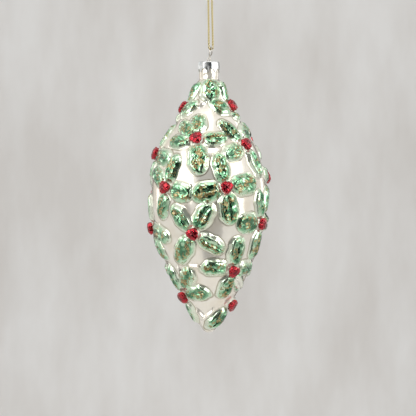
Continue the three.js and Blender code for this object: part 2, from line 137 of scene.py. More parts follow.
@dataclass(frozen=True)
class Finish:
    """What all finishes share: a name, patterns that follow the object, and one shader."""

    name: str

    def sockets(self, tree: bpy.types.NodeTree, place: bpy.types.NodeSocket) -> dict[str, Any]:
        """Works out the shader's inputs.

        Args:
            tree: the material's tree.
            place: the place in the object, in metres.

        Returns:
            Input name to a value, a socket or a node.
        """
        raise NotImplementedError

    def material(self) -> bpy.types.Material:
        """Makes the finish.

        Returns:
            The material, with one shader.
        """
        material = bpy.data.materials.new(self.name)
        material.use_nodes = True
        tree = material.node_tree
        tree.nodes.clear()
        place = add_node(tree, "TexCoord").outputs["Object"]
        shader = add_node(tree, "BsdfPrincipled", self.sockets(tree, place))
        add_node(tree, "OutputMaterial", {"Surface": shader})
        return material


# Soda-lime glass, blown in a mould, silvered inside and pearled outside: the eye gets a soft mirror that
# blurs what it shows, warm and a little cloudy, and clearer where mist from the leaves lies on the pearl; a
# thin brown-grey line of painted shade runs round the foot of each pad.
@dataclass(frozen=True)
class SilveredGlass(Finish):
    """Soda-lime glass blown in a mould and silvered inside, under a pearl coat that softens the mirror."""

    name: str = "silvered_glass"
    silver: str = "F8F4EA"
    cloudy: str = "EEE5D5"
    mist: str = "CFE6CB"
    # Painted shade: the brown-grey of the thin line round the foot of each pad, where the crease is shaded.
    foot_shade: str = "8E8462"
    # Clouds of the silvering are about a thumb wide, and ripples of the pearl coat a few millimetres.
    cloud_mm: float = 11.0
    pearl_mm: float = 2.6
    pearl_depth: float = 0.2
    # How strong the painted shade at the pads' feet is, in patches.
    foot_shade_share: tuple[float, float] = (0.25, 0.9)
    roughness: tuple[float, float] = (0.17, 0.07)
    mirror: tuple[float, float] = (0.5, 0.95)
    coat: float = 0.5
    coat_roughness: float = 0.06

    def sockets(self, tree: bpy.types.NodeTree, place: bpy.types.NodeSocket) -> dict[str, Any]:
        """Works out the shader's inputs, with green mist round the leaves and painted shade in a thin line
        at their feet.

        Args:
            tree: the material's tree.
            place: the place in the object, in metres.

        Returns:
            Input name to a value, a socket or a node.
        """
        mist, clear, foot = [
            add_node(tree, "Attribute", attribute_name=label).outputs["Fac"]
            for label in ("mist", "clear", "foot")
        ]
        drifts = {"Vector": place, "Scale": repeats(self.cloud_mm), "Detail": 3.0}
        clouds = add_node(tree, "TexNoise", drifts)
        silver = add_node(tree, "ValToRGB", {"Fac": clouds}, ((0.35, self.cloudy), (0.6, self.silver)))
        tinted = add_node(tree, "Mix", {0: mist, 6: silver, 7: linear(self.mist)}, data_type="RGBA")
        low, high = self.foot_shade_share
        patchy = {"Value": clouds, "From Min": 0.4, "From Max": 0.6, "To Min": low, "To Max": high}
        patches = add_node(tree, "MapRange", patchy)
        # Painted shade: the foot line darkens the glass towards the brown-grey, patchy over the clouds.
        foot_shade_share = add_node(tree, "Math", {0: foot, 1: patches}, operation="MULTIPLY")
        colour = add_node(tree, "Mix", {0: foot_shade_share, 6: tinted, 7: linear(self.foot_shade)}, data_type="RGBA")
        low, high = self.roughness
        rough = add_node(tree, "MapRange", {"Value": mist, "To Min": low, "To Max": high})
        cleaned = add_node(tree, "Math", {0: mist, 1: clear}, operation="MULTIPLY")
        low, high = self.mirror
        mirror = add_node(tree, "MapRange", {"Value": cleaned, "To Min": low, "To Max": high})
        pearl = add_node(tree, "TexNoise", {"Vector": place, "Scale": repeats(self.pearl_mm), "Detail": 1.0})
        ripple = {"Height": pearl, "Strength": 0.2, "Distance": self.pearl_depth * MM}
        return {
            "Base Color": colour,
            "Metallic": mirror,
            "Roughness": rough,
            "Normal": add_node(tree, "Bump", ripple),
            "Coat Weight": self.coat,
            "Coat Roughness": self.coat_roughness,
        }


# Translucent solvent lacquer, brushed on silvered relief with glitter strewn in while wet: light comes back
# off the silver through the green, so a thin edge is mint, a pool is dark, and the flecks stay a dull gold.
@dataclass(frozen=True)
class GreenLacquer(Finish):
    """Translucent green lacquer brushed over silvered relief: pale at its thin rim, dark where it pools."""

    name: str = "green_lacquer"
    edge: str = "EFF0E2"
    rim: str = "CCE5C8"
    thin: str = "A6D4AC"
    middle: str = "76B086"
    pooled: str = "38724C"
    gold: str = "BAA672"
    old_gold: str = "7D7044"
    # A fine brush leaves marks of two to four millimetres. Real flecks are about 0.3 mm, and are drawn
    # twice as coarse so that they show.
    brush_mm: float = 2.6
    wrinkle_mm: float = 3.8
    wrinkle_depth: float = 1.1
    fleck_mm: float = 0.66
    fleck_depth: float = 0.1
    patch_mm: float = 3.4
    glitter: float = 0.75
    roughness: float = 0.05
    fleck_roughness: float = 0.4
    mirror: tuple[float, float] = (0.25, 0.92)
    coat: float = 1.0
    coat_roughness: float = 0.03

    def sockets(self, tree: bpy.types.NodeTree, place: bpy.types.NodeSocket) -> dict[str, Any]:
        """Works out the shader's inputs, with glitter strewn in patches over the middle of a leaf.

        Args:
            tree: the material's tree.
            place: the place in the object, in metres.

        Returns:
            Input name to a value, a socket or a node.
        """
        depth, clear = [
            add_node(tree, "Attribute", attribute_name=label).outputs["Fac"]
            for label in ("lacquer_depth", "clear")
        ]
        strokes = {"Vector": place, "Scale": repeats(self.brush_mm), "Detail": 1.2}
        uneven = {"From Min": 0.35, "From Max": 0.65, "To Min": 0.3, "To Max": 1.3}
        uneven["Value"] = add_node(tree, "TexNoise", strokes)
        brushed = add_node(tree, "MapRange", uneven)
        coverage = add_node(tree, "Math", {0: depth, 1: brushed}, operation="MULTIPLY")
        shades = (
            (0.0, self.edge),
            (0.14, self.rim),
            (0.4, self.thin),
            (0.65, self.middle),
            (1.0, self.pooled),
        )
        green = add_node(tree, "ValToRGB", {"Fac": coverage}, shades)
        flecks = add_node(tree, "TexVoronoi", {"Vector": place, "Scale": repeats(self.fleck_mm)})
        pick = add_node(tree, "SeparateColor", {"Color": flecks.outputs["Color"]}).outputs
        patches = {"Vector": place, "Scale": repeats(self.patch_mm), "Detail": 1.0}
        spread = {"From Min": 0.48, "From Max": 0.56, "To Max": self.glitter}
        spread["Value"] = add_node(tree, "TexNoise", patches)
        strewn = add_node(tree, "MapRange", spread)
        likely = add_node(tree, "Math", {0: strewn, 1: depth}, operation="MULTIPLY")
        glitter = add_node(tree, "Math", {0: pick["Red"], 1: likely}, operation="LESS_THAN")
        golds = add_node(tree, "ValToRGB", {"Fac": pick["Green"]}, ((0.2, self.old_gold), (0.8, self.gold)))
        colour = add_node(tree, "Mix", {0: glitter, 6: green, 7: golds}, data_type="RGBA")
        rough = {"Value": glitter, "To Min": self.roughness, "To Max": self.fleck_roughness}
        low, high = self.mirror
        mirror = add_node(tree, "MapRange", {"Value": clear, "To Min": low, "To Max": high})
        soft = {"Vector": place, "Scale": repeats(self.wrinkle_mm), "Detail": 0.0, "Distortion": 0.6}
        folds = add_node(tree, "TexNoise", soft)
        swells = add_node(tree, "Math", {0: folds, 1: depth}, operation="MULTIPLY")
        wrinkles = {"Height": swells, "Strength": 0.45, "Distance": self.wrinkle_depth * MM}
        tilted = add_node(tree, "Math", {0: pick["Blue"], 1: glitter}, operation="MULTIPLY")
        sparkle = {"Height": tilted, "Strength": 0.25, "Distance": self.fleck_depth * MM}
        sparkle["Normal"] = add_node(tree, "Bump", wrinkles)
        return {
            "Base Color": colour,
            "Metallic": mirror,
            "Roughness": add_node(tree, "MapRange", rough),
            "Normal": add_node(tree, "Bump", sparkle),
            "Coat Weight": self.coat,
            "Coat Roughness": self.coat_roughness,
        }


# Glossy oil enamel, dabbed on silvered relief: it glows red where it is thin, is painted almost black as
# shade in the creases between the berries and as a dark reflection on the middle of each cluster, and takes
# small white lights on its dimples.
@dataclass(frozen=True)
class RedEnamel(Finish):
    """Glossy red enamel over silvered relief, painted darker as shade between the berries and as a dark
    reflection on their middle.
    """

    name: str = "red_enamel"
    red: str = "AE0C22"
    # Painted shade and painted dark reflection: the near-black that the red turns to in the creases and on
    # the cluster's middle.
    deep: str = "2A0408"
    # Dimples of a thick coat, about a millimetre.
    grain_mm: float = 1.1
    grain_depth: float = 0.2
    metallic: float = 0.9
    roughness: float = 0.07
    coat: float = 0.75
    coat_roughness: float = 0.03

    def sockets(self, tree: bpy.types.NodeTree, place: bpy.types.NodeSocket) -> dict[str, Any]:
        """Works out the shader's inputs.

        Args:
            tree: the material's tree.
            place: the place in the object, in metres.

        Returns:
            Input name to a value, a socket or a node.
        """
        # Painted shade in the creases between the berries and a painted dark reflection on the middle of
        # each cluster, as one value.
        painted_dark = add_node(tree, "Attribute", attribute_name="painted_dark").outputs["Fac"]
        colours = {0: painted_dark, 6: linear(self.red), 7: linear(self.deep)}
        grain = add_node(tree, "TexNoise", {"Vector": place, "Scale": repeats(self.grain_mm), "Detail": 2.0})
        pitted = {"Height": grain, "Strength": 0.3, "Distance": self.grain_depth * MM}
        return {
            "Base Color": add_node(tree, "Mix", colours, data_type="RGBA"),
            "Metallic": self.metallic,
            "Roughness": self.roughness,
            "Normal": add_node(tree, "Bump", pitted),
            "Coat Weight": self.coat,
            "Coat Roughness": self.coat_roughness,
        }


# Bright tinplate from the press, or spring steel from the die: hard light and dark reflections side by side,
# broken by shallow dents and marks that dull them here and there.
@dataclass(frozen=True)
class DrawnMetal(Finish):
    """Bright metal marked by its press or its die."""

    bright: str
    dull: str
    roughness: float
    mark_mm: float
    dent_depth: float = 0.12
    polish: tuple[float, float] = (0.6, 1.5)

    def sockets(self, tree: bpy.types.NodeTree, place: bpy.types.NodeSocket) -> dict[str, Any]:
        """Works out the shader's inputs.

        Args:
            tree: the material's tree.
            place: the place in the object, in metres.

        Returns:
            Input name to a value, a socket or a node.
        """
        marks = add_node(tree, "TexNoise", {"Vector": place, "Scale": repeats(self.mark_mm), "Detail": 3.0})
        low, high = self.polish
        rough = {"Value": marks, "To Min": low * self.roughness, "To Max": high * self.roughness}
        dents = {"Height": marks, "Strength": 0.3, "Distance": self.dent_depth * MM}
        shades = ((0.3, self.dull), (0.62, self.bright))
        return {
            "Base Color": add_node(tree, "ValToRGB", {"Fac": marks}, shades),
            "Metallic": 1.0,
            "Roughness": add_node(tree, "MapRange", rough),
            "Normal": add_node(tree, "Bump", dents),
        }


# Metallised film spun round a polyester core, two plies twisted: a row of bright beads with dark valleys,
# painted as highlight on the crest of each ply and as shade in the groove between.
@dataclass(frozen=True)
class MetallicThread(Finish):
    """Gold metallised film spun round a core and twisted in two plies: painted highlight on the plies,
    painted shade between.
    """

    name: str = "metallic_thread"
    # Painted highlight, the thread's gold, and painted shade: the plies' crests take the light, the grooves
    # the shade.
    light: str = "F6EBBB"
    gold: str = "CDB872"
    shade: str = "5C4C20"
    # The film is cut about 0.35 mm wide.
    yarn_mm: float = 0.35
    yarn_depth: float = 0.1
    metallic: float = 0.75
    roughness: float = 0.34

    def sockets(self, tree: bpy.types.NodeTree, place: bpy.types.NodeSocket) -> dict[str, Any]:
        """Works out the shader's inputs.

        Args:
            tree: the material's tree.
            place: the place in the object, in metres.

        Returns:
            Input name to a value, a socket or a node.
        """
        ply = add_node(tree, "Attribute", attribute_name="ply").outputs["Fac"]
        yarn = add_node(tree, "TexNoise", {"Vector": place, "Scale": repeats(self.yarn_mm), "Detail": 2.0})
        uneven = {"Value": yarn, "From Min": 0.3, "From Max": 0.7, "To Min": -0.2, "To Max": 0.2}
        # Painted highlight and shade: the colour follows the ply, light on each crest and dark in each
        # groove.
        lit = add_node(tree, "Math", {0: ply, 1: add_node(tree, "MapRange", uneven)}, operation="ADD")
        golds = ((0.2, self.shade), (0.72, self.gold), (0.98, self.light))
        spun = {"Height": yarn, "Strength": 0.6, "Distance": self.yarn_depth * MM}
        return {
            "Base Color": add_node(tree, "ValToRGB", {"Fac": lit}, golds),
            "Metallic": self.metallic,
            "Roughness": self.roughness,
            "Normal": add_node(tree, "Bump", spun),
        }


# Matt limewash on plaster: no gloss at all, only soft clouds a hand wide where the brush went over twice.
@dataclass(frozen=True)
class LimewashedWall(Finish):
    """Matt limewash on plaster, brushed on in soft upright clouds."""

    name: str = "limewash"
    pale: str = "ECECEC"
    grey: str = "DEDCDA"
    cloud_mm: float = 85.0
    upright: tuple[float, float, float] = (1.0, 1.0, 0.35)

    def sockets(self, tree: bpy.types.NodeTree, place: bpy.types.NodeSocket) -> dict[str, Any]:
        """Works out the shader's inputs.

        Args:
            tree: the material's tree.
            place: the place in the object, in metres.

        Returns:
            Input name to a value, a socket or a node.
        """
        upright = add_node(tree, "Mapping", {"Vector": place, "Scale": self.upright})
        brushed = {"Vector": upright, "Scale": repeats(self.cloud_mm), "Detail": 4.0, "Roughness": 0.55}
        clouds = add_node(tree, "TexNoise", brushed)
        colour = add_node(tree, "ValToRGB", {"Fac": clouds}, ((0.36, self.grey), (0.64, self.pale)))
        return {"Base Color": colour, "Roughness": 0.9, "Specular IOR Level": 0.1}


# Black cotton, napped: it swallows light, so that a polished surface shows a dark field where it hangs.
@dataclass(frozen=True)
class BlackCloth(Finish):
    """Matt black cotton stretched on a frame: what a polished surface shows of it is all but black."""

    name: str = "black_cotton"
    black: str = "151716"
    faded: str = "232523"
    fold_mm: float = 60.0

    def sockets(self, tree: bpy.types.NodeTree, place: bpy.types.NodeSocket) -> dict[str, Any]:
        """Works out the shader's inputs.

        Args:
            tree: the material's tree.
            place: the place in the object, in metres.

        Returns:
            Input name to a value, a socket or a node.
        """
        folds = add_node(tree, "TexNoise", {"Vector": place, "Scale": repeats(self.fold_mm), "Detail": 1.0})
        colour = add_node(tree, "ValToRGB", {"Fac": folds}, ((0.4, self.black), (0.6, self.faded)))
        return {"Base Color": colour, "Roughness": 0.95, "Specular IOR Level": 0.1}


# Mesh tools


@dataclass
class Shell:
    """A closed surface in millimetres, with named values at its points."""

    points: np.ndarray
    faces: list[tuple[int, ...]]
    values: dict[str, np.ndarray] = field(default_factory=dict)


def smooth_step(value: np.ndarray) -> np.ndarray:
    """Rises from 0 to 1 while the value does, level at both ends."""
    share = np.clip(value, 0.0, 1.0)
    return share * share * (3.0 - 2.0 * share)


def round_turns(count: int, start: float = 0.0) -> np.ndarray:
    """Evenly spaced turns once round, in radians."""
    return np.linspace(0.0, 2 * math.pi, count, endpoint=False) + start


def loft(
    rings: np.ndarray,
    first: np.ndarray | None = None,
    last: np.ndarray | None = None,
    joined: bool = False,
) -> Shell:
    """Skins a row of rings.

    Args:
        rings: rings by points by three, in millimetres.
        first: the point that closes the first ring, if any.
        last: the point that closes the last ring, if any.
        joined: whether the last ring goes on to the first.

    Returns:
        The shell, its points in the order of the rings, then the first and the last point.
    """
    count, sides = rings.shape[:2]
    points = [rings.reshape(-1, 3)]
    faces: list[tuple[int, ...]] = []
    for k in range(count if joined else count - 1):
        low, high = k * sides, ((k + 1) % count) * sides
        faces += [(low + j, low + (j + 1) % sides, high + (j + 1) % sides, high + j) for j in range(sides)]
    tail = count * sides
    if first is not None:
        points.append(np.reshape(first, (1, 3)))
        faces += [(tail, (j + 1) % sides, j) for j in range(sides)]
        tail += 1
    if last is not None:
        points.append(np.reshape(last, (1, 3)))
        low = (count - 1) * sides
        faces += [(tail, low + j, low + (j + 1) % sides) for j in range(sides)]
    return Shell(np.vstack(points), faces)


def gather(shells: list[Shell]) -> Shell:
    """Puts several shells into one.

    Args:
        shells: shells that have the same named values.

    Returns:
        One shell with all their surfaces.
    """
    faces: list[tuple[int, ...]] = []
    start = 0
    for shell in shells:
        faces += [tuple(start + k for k in face) for face in shell.faces]
        start += len(shell.points)
    values = {name: np.concatenate([shell.values[name] for shell in shells]) for name in shells[0].values}
    return Shell(np.vstack([shell.points for shell in shells]), faces, values)


def add_piece(
    name: str,
    shell: Shell,
    material: bpy.types.Material,
    crisp: float | None = None,
) -> bpy.types.Object:
    """Makes a Blender object from a shell.

    Args:
        name: the piece's name.
        shell: its surface in millimetres.
        material: its finish.
        crisp: the angle in degrees past which an edge stays sharp, if any.

    Returns:
        The object, smooth and with its faces out.
    """
    mesh = bpy.data.meshes.new(name)
    mesh.from_pydata((shell.points * MM).tolist(), [], shell.faces)
    tidy = bmesh.new()
    tidy.from_mesh(mesh)
    bmesh.ops.recalc_face_normals(tidy, faces=tidy.faces)
    tidy.to_mesh(mesh)
    tidy.free()
    for label, value in shell.values.items():
        mesh.attributes.new(label, "FLOAT", "POINT").data.foreach_set("value", value.astype(np.float32))
    mesh.shade_smooth()
    if crisp is not None:
        mesh.set_sharp_from_angle(angle=math.radians(crisp))
    mesh.materials.append(material)
    piece = bpy.data.objects.new(name, mesh)
    bpy.context.scene.collection.objects.link(piece)
    return piece


def settle(piece: bpy.types.Object, body: Body, slot: Slot, *nodes: str) -> None:
    """Lets a piece ride on its body and stand for its nodes, which it hides.

    Args:
        piece: the piece, in place.
        body: the body that carries it.
        slot: the record's slot for its finish; not used.
        *nodes: the nodes that it replaces.
    """
    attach(piece, body.value)
    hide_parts(*nodes)
    LOG.info("%s rides on %s, %d faces", piece.name, body.value, len(piece.data.polygons))


def travelled_along(path: np.ndarray) -> np.ndarray:
    """How far each point of a path is from its start."""
    return np.concatenate([[0.0], np.cumsum(np.linalg.norm(np.diff(path, axis=0), axis=1))])


def smooth_route(points: np.ndarray, steps: int, fineness: int = 40) -> np.ndarray:
    """Spaces points evenly along a centripetal Catmull-Rom curve.

    Args:
        points: the points that the curve passes through.
        steps: how many stretches the result has.
        fineness: how many places are worked out between two of the points.

    Returns:
        One more point than steps.
    """
    padded = np.vstack([2 * points[0] - points[1], points, 2 * points[-1] - points[-2]])
    fine = []
    for k in range(len(points) - 1):
        span = padded[k : k + 4]
        knots = np.concatenate([[0.0], np.cumsum(np.sqrt(np.linalg.norm(np.diff(span, axis=0), axis=1)))])
        time = np.linspace(knots[1], knots[2], fineness)[:, None]

        def between(low: np.ndarray, high: np.ndarray, start: float, end: float) -> np.ndarray:
            """Mixes two rows of points by how far the time is from start to end."""
            return ((end - time) * low + (time - start) * high) / (end - start)

        first = [between(span[j], span[j + 1], knots[j], knots[j + 1]) for j in range(3)]
        second = [between(first[j], first[j + 1], knots[j], knots[j + 2]) for j in range(2)]
        fine.append(between(second[0], second[1], knots[1], knots[2]))
    dense = np.vstack(fine)
    travelled = travelled_along(dense)
    even = np.linspace(0.0, travelled[-1], steps + 1)
    return np.column_stack([np.interp(even, travelled, dense[:, axis]) for axis in range(3)])


def carried_frames(path: np.ndarray) -> tuple[np.ndarray, np.ndarray]:
    """Carries two cross directions along a path with no twist of their own.

    Args:
        path: the points of the path.

    Returns:
        The two directions at each point.
    """
    tangents = np.gradient(path, axis=0)
    tangents /= np.linalg.norm(tangents, axis=1)[:, None]
    least = np.eye(3)[np.argmin(np.abs(tangents[0]))]
    side = np.cross(tangents[0], least)
    sides = []
    for tangent in tangents:
        side = side - tangent * np.dot(side, tangent)
        side = side / np.linalg.norm(side)
        sides.append(side)
    return np.array(sides), np.cross(tangents, np.array(sides))


def sweep(path: np.ndarray, radii: np.ndarray) -> Shell:
    """Sweeps a section along a path and closes its ends.

    Args:
        path: the points of the path.
        radii: the section's radius at each point of the path and each step round it.

    Returns:
        The closed tube.
    """
    across, over = carried_frames(path)
    angles = round_turns(radii.shape[1])
    rings = (
        path[:, None]
        + (radii * np.cos(angles))[..., None] * across[:, None]
        + (radii * np.sin(angles))[..., None] * over[:, None]
    )
    return loft(rings, path[0], path[-1])


# The bulb's outline and its relief


@dataclass
class BulbOutline:
    """The bare outside of the bulb from the end of its neck to its tip, as one smooth curve.

    A drop is counted down from the top of the cap, and a turn about +Z from the front towards +X.
    """

    cap_top: float = -61.8
    neck_radius: float = 4.95
    neck_end: float = 9.2
    wall: float = 1.0
    tip_drop: float = 139.7
    tip_radius: float = 3.2
    least_girth: float = 1.5
    # Radius and drop of the places that the outline passes through.
    spine: tuple[tuple[float, float], ...] = (
        (6.9, 12.2),
        (9.9, 21.0),
        (17.4, 33.0),
        (25.9, 48.0),
        (29.8, 67.5),
        (27.2, 90.0),
        (19.6, 110.0),
        (8.9, 128.5),
    )
    steps: int = 80

    def __post_init__(self) -> None:
        """Works out the curve at closely spaced places."""
        low_tip = (self.tip_radius, self.tip_drop - self.tip_radius / 2)
        knots = np.array([(self.neck_radius, self.neck_end), *self.spine, low_tip, (0.0, self.tip_drop)])
        knots[:, 1] *= -1
        padded = np.vstack([knots[0], knots, knots[-1]])
        share = np.linspace(0.0, 1.0, self.steps, endpoint=False)[:, None]
        spans = []
        for k in range(len(knots) - 1):
            before, start, end, after = padded[k : k + 4]
            leave, arrive = (end - before) / 2, (after - start) / 2
            spans.append(
                (2 * start - 2 * end + leave + arrive) * share**3
                + (3 * end - 3 * start - 2 * leave - arrive) * share**2
                + leave * share
                + start
            )
        self.curve = np.vstack([*spans, knots[-1:]])
        self.travelled = travelled_along(self.curve)
        tangent = np.gradient(self.curve, self.travelled, axis=0)
        tangent /= np.linalg.norm(tangent, axis=1)[:, None]
        self.normal = np.column_stack([-tangent[:, 1], tangent[:, 0]])
        self.arc = float(self.travelled[-1])

    def radius(self, along: np.ndarray) -> np.ndarray:
        """The radius of the bare glass at distances along the outline, never quite nothing."""
        return np.maximum(np.interp(along, self.travelled, self.curve[:, 0]), self.least_girth)

    def over(self, turn: np.ndarray, along: np.ndarray, lift: np.ndarray) -> np.ndarray:
        """Points over the bare glass.

        Args:
            turn: turns in radians.
            along: distances along the outline.
            lift: heights over the bare glass.

        Returns:
            The points, three numbers each.
        """
        radius, height = [np.interp(along, self.travelled, self.curve[:, axis]) for axis in range(2)]
        out, up = [np.interp(along, self.travelled, self.normal[:, axis]) for axis in range(2)]
        reach = radius + out * lift
        level = self.cap_top + height + up * lift
        return np.stack([reach * np.sin(turn), -reach * np.cos(turn), level], axis=-1)


@dataclass(frozen=True)
class Leaf:
    """One leaf of a sprig: a blunt oval that starts a little way from the middle of its sprig."""

    bearing: float
    reach: float
    width: float
    root: float
    lacquered: bool = True
    bluntness: float = 2.3
    wave: float = 0.2
    wave_length: float = 7.6
    small_wave: float = 0.35
    small_pace: float = 1.7
    sides_apart: float = 1.1
    tiny: float = 1e-6

    def inside(self, forward: np.ndarray, aside: np.ndarray) -> np.ndarray:
        """Measures points against the leaf's gently waved edge.

        Args:
            forward: how far along the leaf, from the sprig's middle.
            aside: how far to the left of the leaf's middle line.

        Returns:
            How far inside the edge each point is, less than nothing outside.
        """
        half_length, half_width = (self.reach - self.root) / 2, self.width / 2
        x = np.abs((forward - self.root) / half_length - 1) + self.tiny
        y = np.abs(aside / half_width) + self.tiny
        norm = (x**self.bluntness + y**self.bluntness) ** (1 / self.bluntness)
        power = self.bluntness - 1
        slope = norm**-power * np.hypot(x**power / half_length, y**power / half_width)
        phase = 2 * math.pi * forward / self.wave_length + self.bearing + self.sides_apart * np.tanh(aside)
        waves = np.cos(phase) + self.small_wave * np.sin(self.small_pace * phase + self.reach)
        waves = waves * np.minimum(y, 1)
        return np.minimum((1 - norm) / slope, half_width) + self.wave * waves

    def place(self, forward: np.ndarray, aside: np.ndarray) -> tuple[np.ndarray, np.ndarray]:
        """Turns places along the leaf into places round the sprig's middle.

        Args:
            forward: how far along the leaf, from the sprig's middle.
            aside: how far to the left of the leaf's middle line.

        Returns:
            How far east and up of the sprig's middle.
        """
        way = math.radians(self.bearing)
        east = forward * math.cos(way) - aside * math.sin(way)
        return east, forward * math.sin(way) + aside * math.cos(way)

    def local(self, east: np.ndarray, up: np.ndarray) -> tuple[np.ndarray, np.ndarray]:
        """Turns east and up of the sprig's middle into forward and aside."""
        way = math.radians(self.bearing)
        return east * math.cos(way) + up * math.sin(way), up * math.cos(way) - east * math.sin(way)


@dataclass(frozen=True)
class Sprig:
    """A sprig of leaves at a turn and a share of the outline, both as the model has them."""

    name: str
    turn: float
    place: float
    leaves: tuple[Leaf, ...]
    berried: bool = True


@dataclass
class SprigPlan:
    """Where the sprigs are. A row is [name, turn, place, leaves], a leaf [bearing, reach, width, root].

    A place is in percent of the outline, and reach, width and root in percent of the usual leaf's.
    """

    leaf_reach: float = 16.0
    leaf_width: float = 7.5
    leaf_root: float = 3.4
    # Sprig and bearing of the leaf that is bare but for a green line near its edge.
    bare: tuple[tuple[str, float], ...] = (("taper_1", 315),)
    rows: tuple[tuple[Any, ...], ...] = (
        ("shoulder_1", 68, 11.1, ((184, 75, 109), (90, 88, 72), (0, 54, 88), (268, 53, 80))),
        ("shoulder_2", 166, 11.1, ((180, 54, 88), (90, 88, 72), (0, 54, 88), (270, 53, 80))),
        ("shoulder_3", 263, 11.6, ((354, 78, 115), (70, 90, 80), (180, 54, 88), (272, 53, 80))),
        ("upper_1", -16, 25.1, ((138, 97, 91), (95, 91, 99), (185, 103, 93), (1, 91, 93), (279, 116, 120))),
        ("upper_2", 48, 27.3, ((118, 100, 93), (55, 94, 93), (205, 97, 91), (295, 113, 99))),
        ("upper_3", 123, 25.2, ((140, 94, 93), (40, 94, 93), (228, 88, 93), (318, 94, 93))),
        ("upper_4", 198, 29.2, ((90, 94, 93), (0, 106, 100), (180, 106, 100), (270, 100, 107))),
        ("upper_5", 273, 30.6, ((88, 106, 93), (352, 116, 96), (182, 100, 100), (264, 78, 87))),
        ("middle_1", 16.5, 42.8, ((101, 109, 93), (7, 116, 125), (192, 106, 117), (278, 113, 117))),
        ("middle_2", 105, 39.2, ((272, 100, 100), (165, 81, 93), (45, 72, 87), (352, 100, 100))),
        ("middle_3", 173, 43.4, ((90, 91, 93), (0, 100, 107), (180, 106, 107), (270, 106, 107))),
        ("middle_4", 242, 44.8, ((55, 94, 100), (140, 100, 100), (225, 106, 107), (305, 88, 100))),
        ("middle_5", -46, 42.8, ((78, 105, 96), (346, 93, 109), (252, 100, 93), (145, 100, 93))),
        ("lower_1", -16.5, 58.9, ((129, 109, 99), (57, 109, 109), (236, 116, 115), (328, 106, 99))),
        (
            "lower_2",
            64,
            55.5,
            ((177, 103, 117), (2, 88, 100), (102, 106, 85), (270, 113, 99), (66, 128, 80, 191)),
        ),
        ("lower_3", 134, 57.3, ((45, 100, 100), (135, 100, 100), (225, 106, 100), (315, 97, 100))),
        ("lower_4", 202, 58.7, ((90, 100, 100), (0, 94, 107), (180, 94, 107), (270, 100, 100))),
        ("lower_5", 270, 56.9, ((346, 128, 101), (301, 119, 96), (86, 106, 93), (180, 88, 107))),
        ("taper_1", 34, 72.7, ((92, 109, 107), (172, 103, 99), (7, 94, 99), (265, 97, 93), (315, 94, 85))),
        ("taper_2", 140, 73.4, ((90, 78, 93), (0, 94, 100), (180, 94, 100), (270, 81, 93))),
        ("taper_3", 232, 72.7, ((75, 81, 93), (0, 75, 93), (180, 88, 93), (270, 81, 93))),
        ("tip_1", -62, 83.2, ((12, 103, 91), (50, 128, 83, 191), (96, 109, 93), (258, 100, 85))),
        ("tip_2", 70, 86.6, ((249, 94, 112), (0, 69, 87))),
        ("tip_3", 186, 86.1, ((270, 81, 85), (170, 63, 87), (10, 63, 87))),
    )
    neck_rows: tuple[tuple[Any, ...], ...] = (
        ("neck_1", 0, 9.2, ((90, 76, 109, 24),)),
        ("neck_2", 117, 8.9, ((90, 72, 72, 24),)),
        ("neck_3", 214.5, 8.9, ((90, 72, 72, 24),)),
    )

    def leaf(self, name: str, bearing: float, reach: float, width: float, root: float = 100) -> Leaf:
        """Sizes one leaf of a row in millimetres."""
        sizes = (self.leaf_reach * reach / 100, self.leaf_width * width / 100, self.leaf_root * root / 100)
        return Leaf(bearing, *sizes, lacquered=(name, bearing) not in self.bare)

    def sprigs(self) -> list[Sprig]:
        """Makes the sprigs from their rows.

        Returns:
            All the sprigs, then the single leaves round the neck.
        """
        made = []
        for berried, rows in ((True, self.rows), (False, self.neck_rows)):
            for name, turn, place, leaves in rows:
                sized = tuple(self.leaf(name, *leaf) for leaf in leaves)
                made.append(Sprig(name, turn, place, sized, berried))
        return made


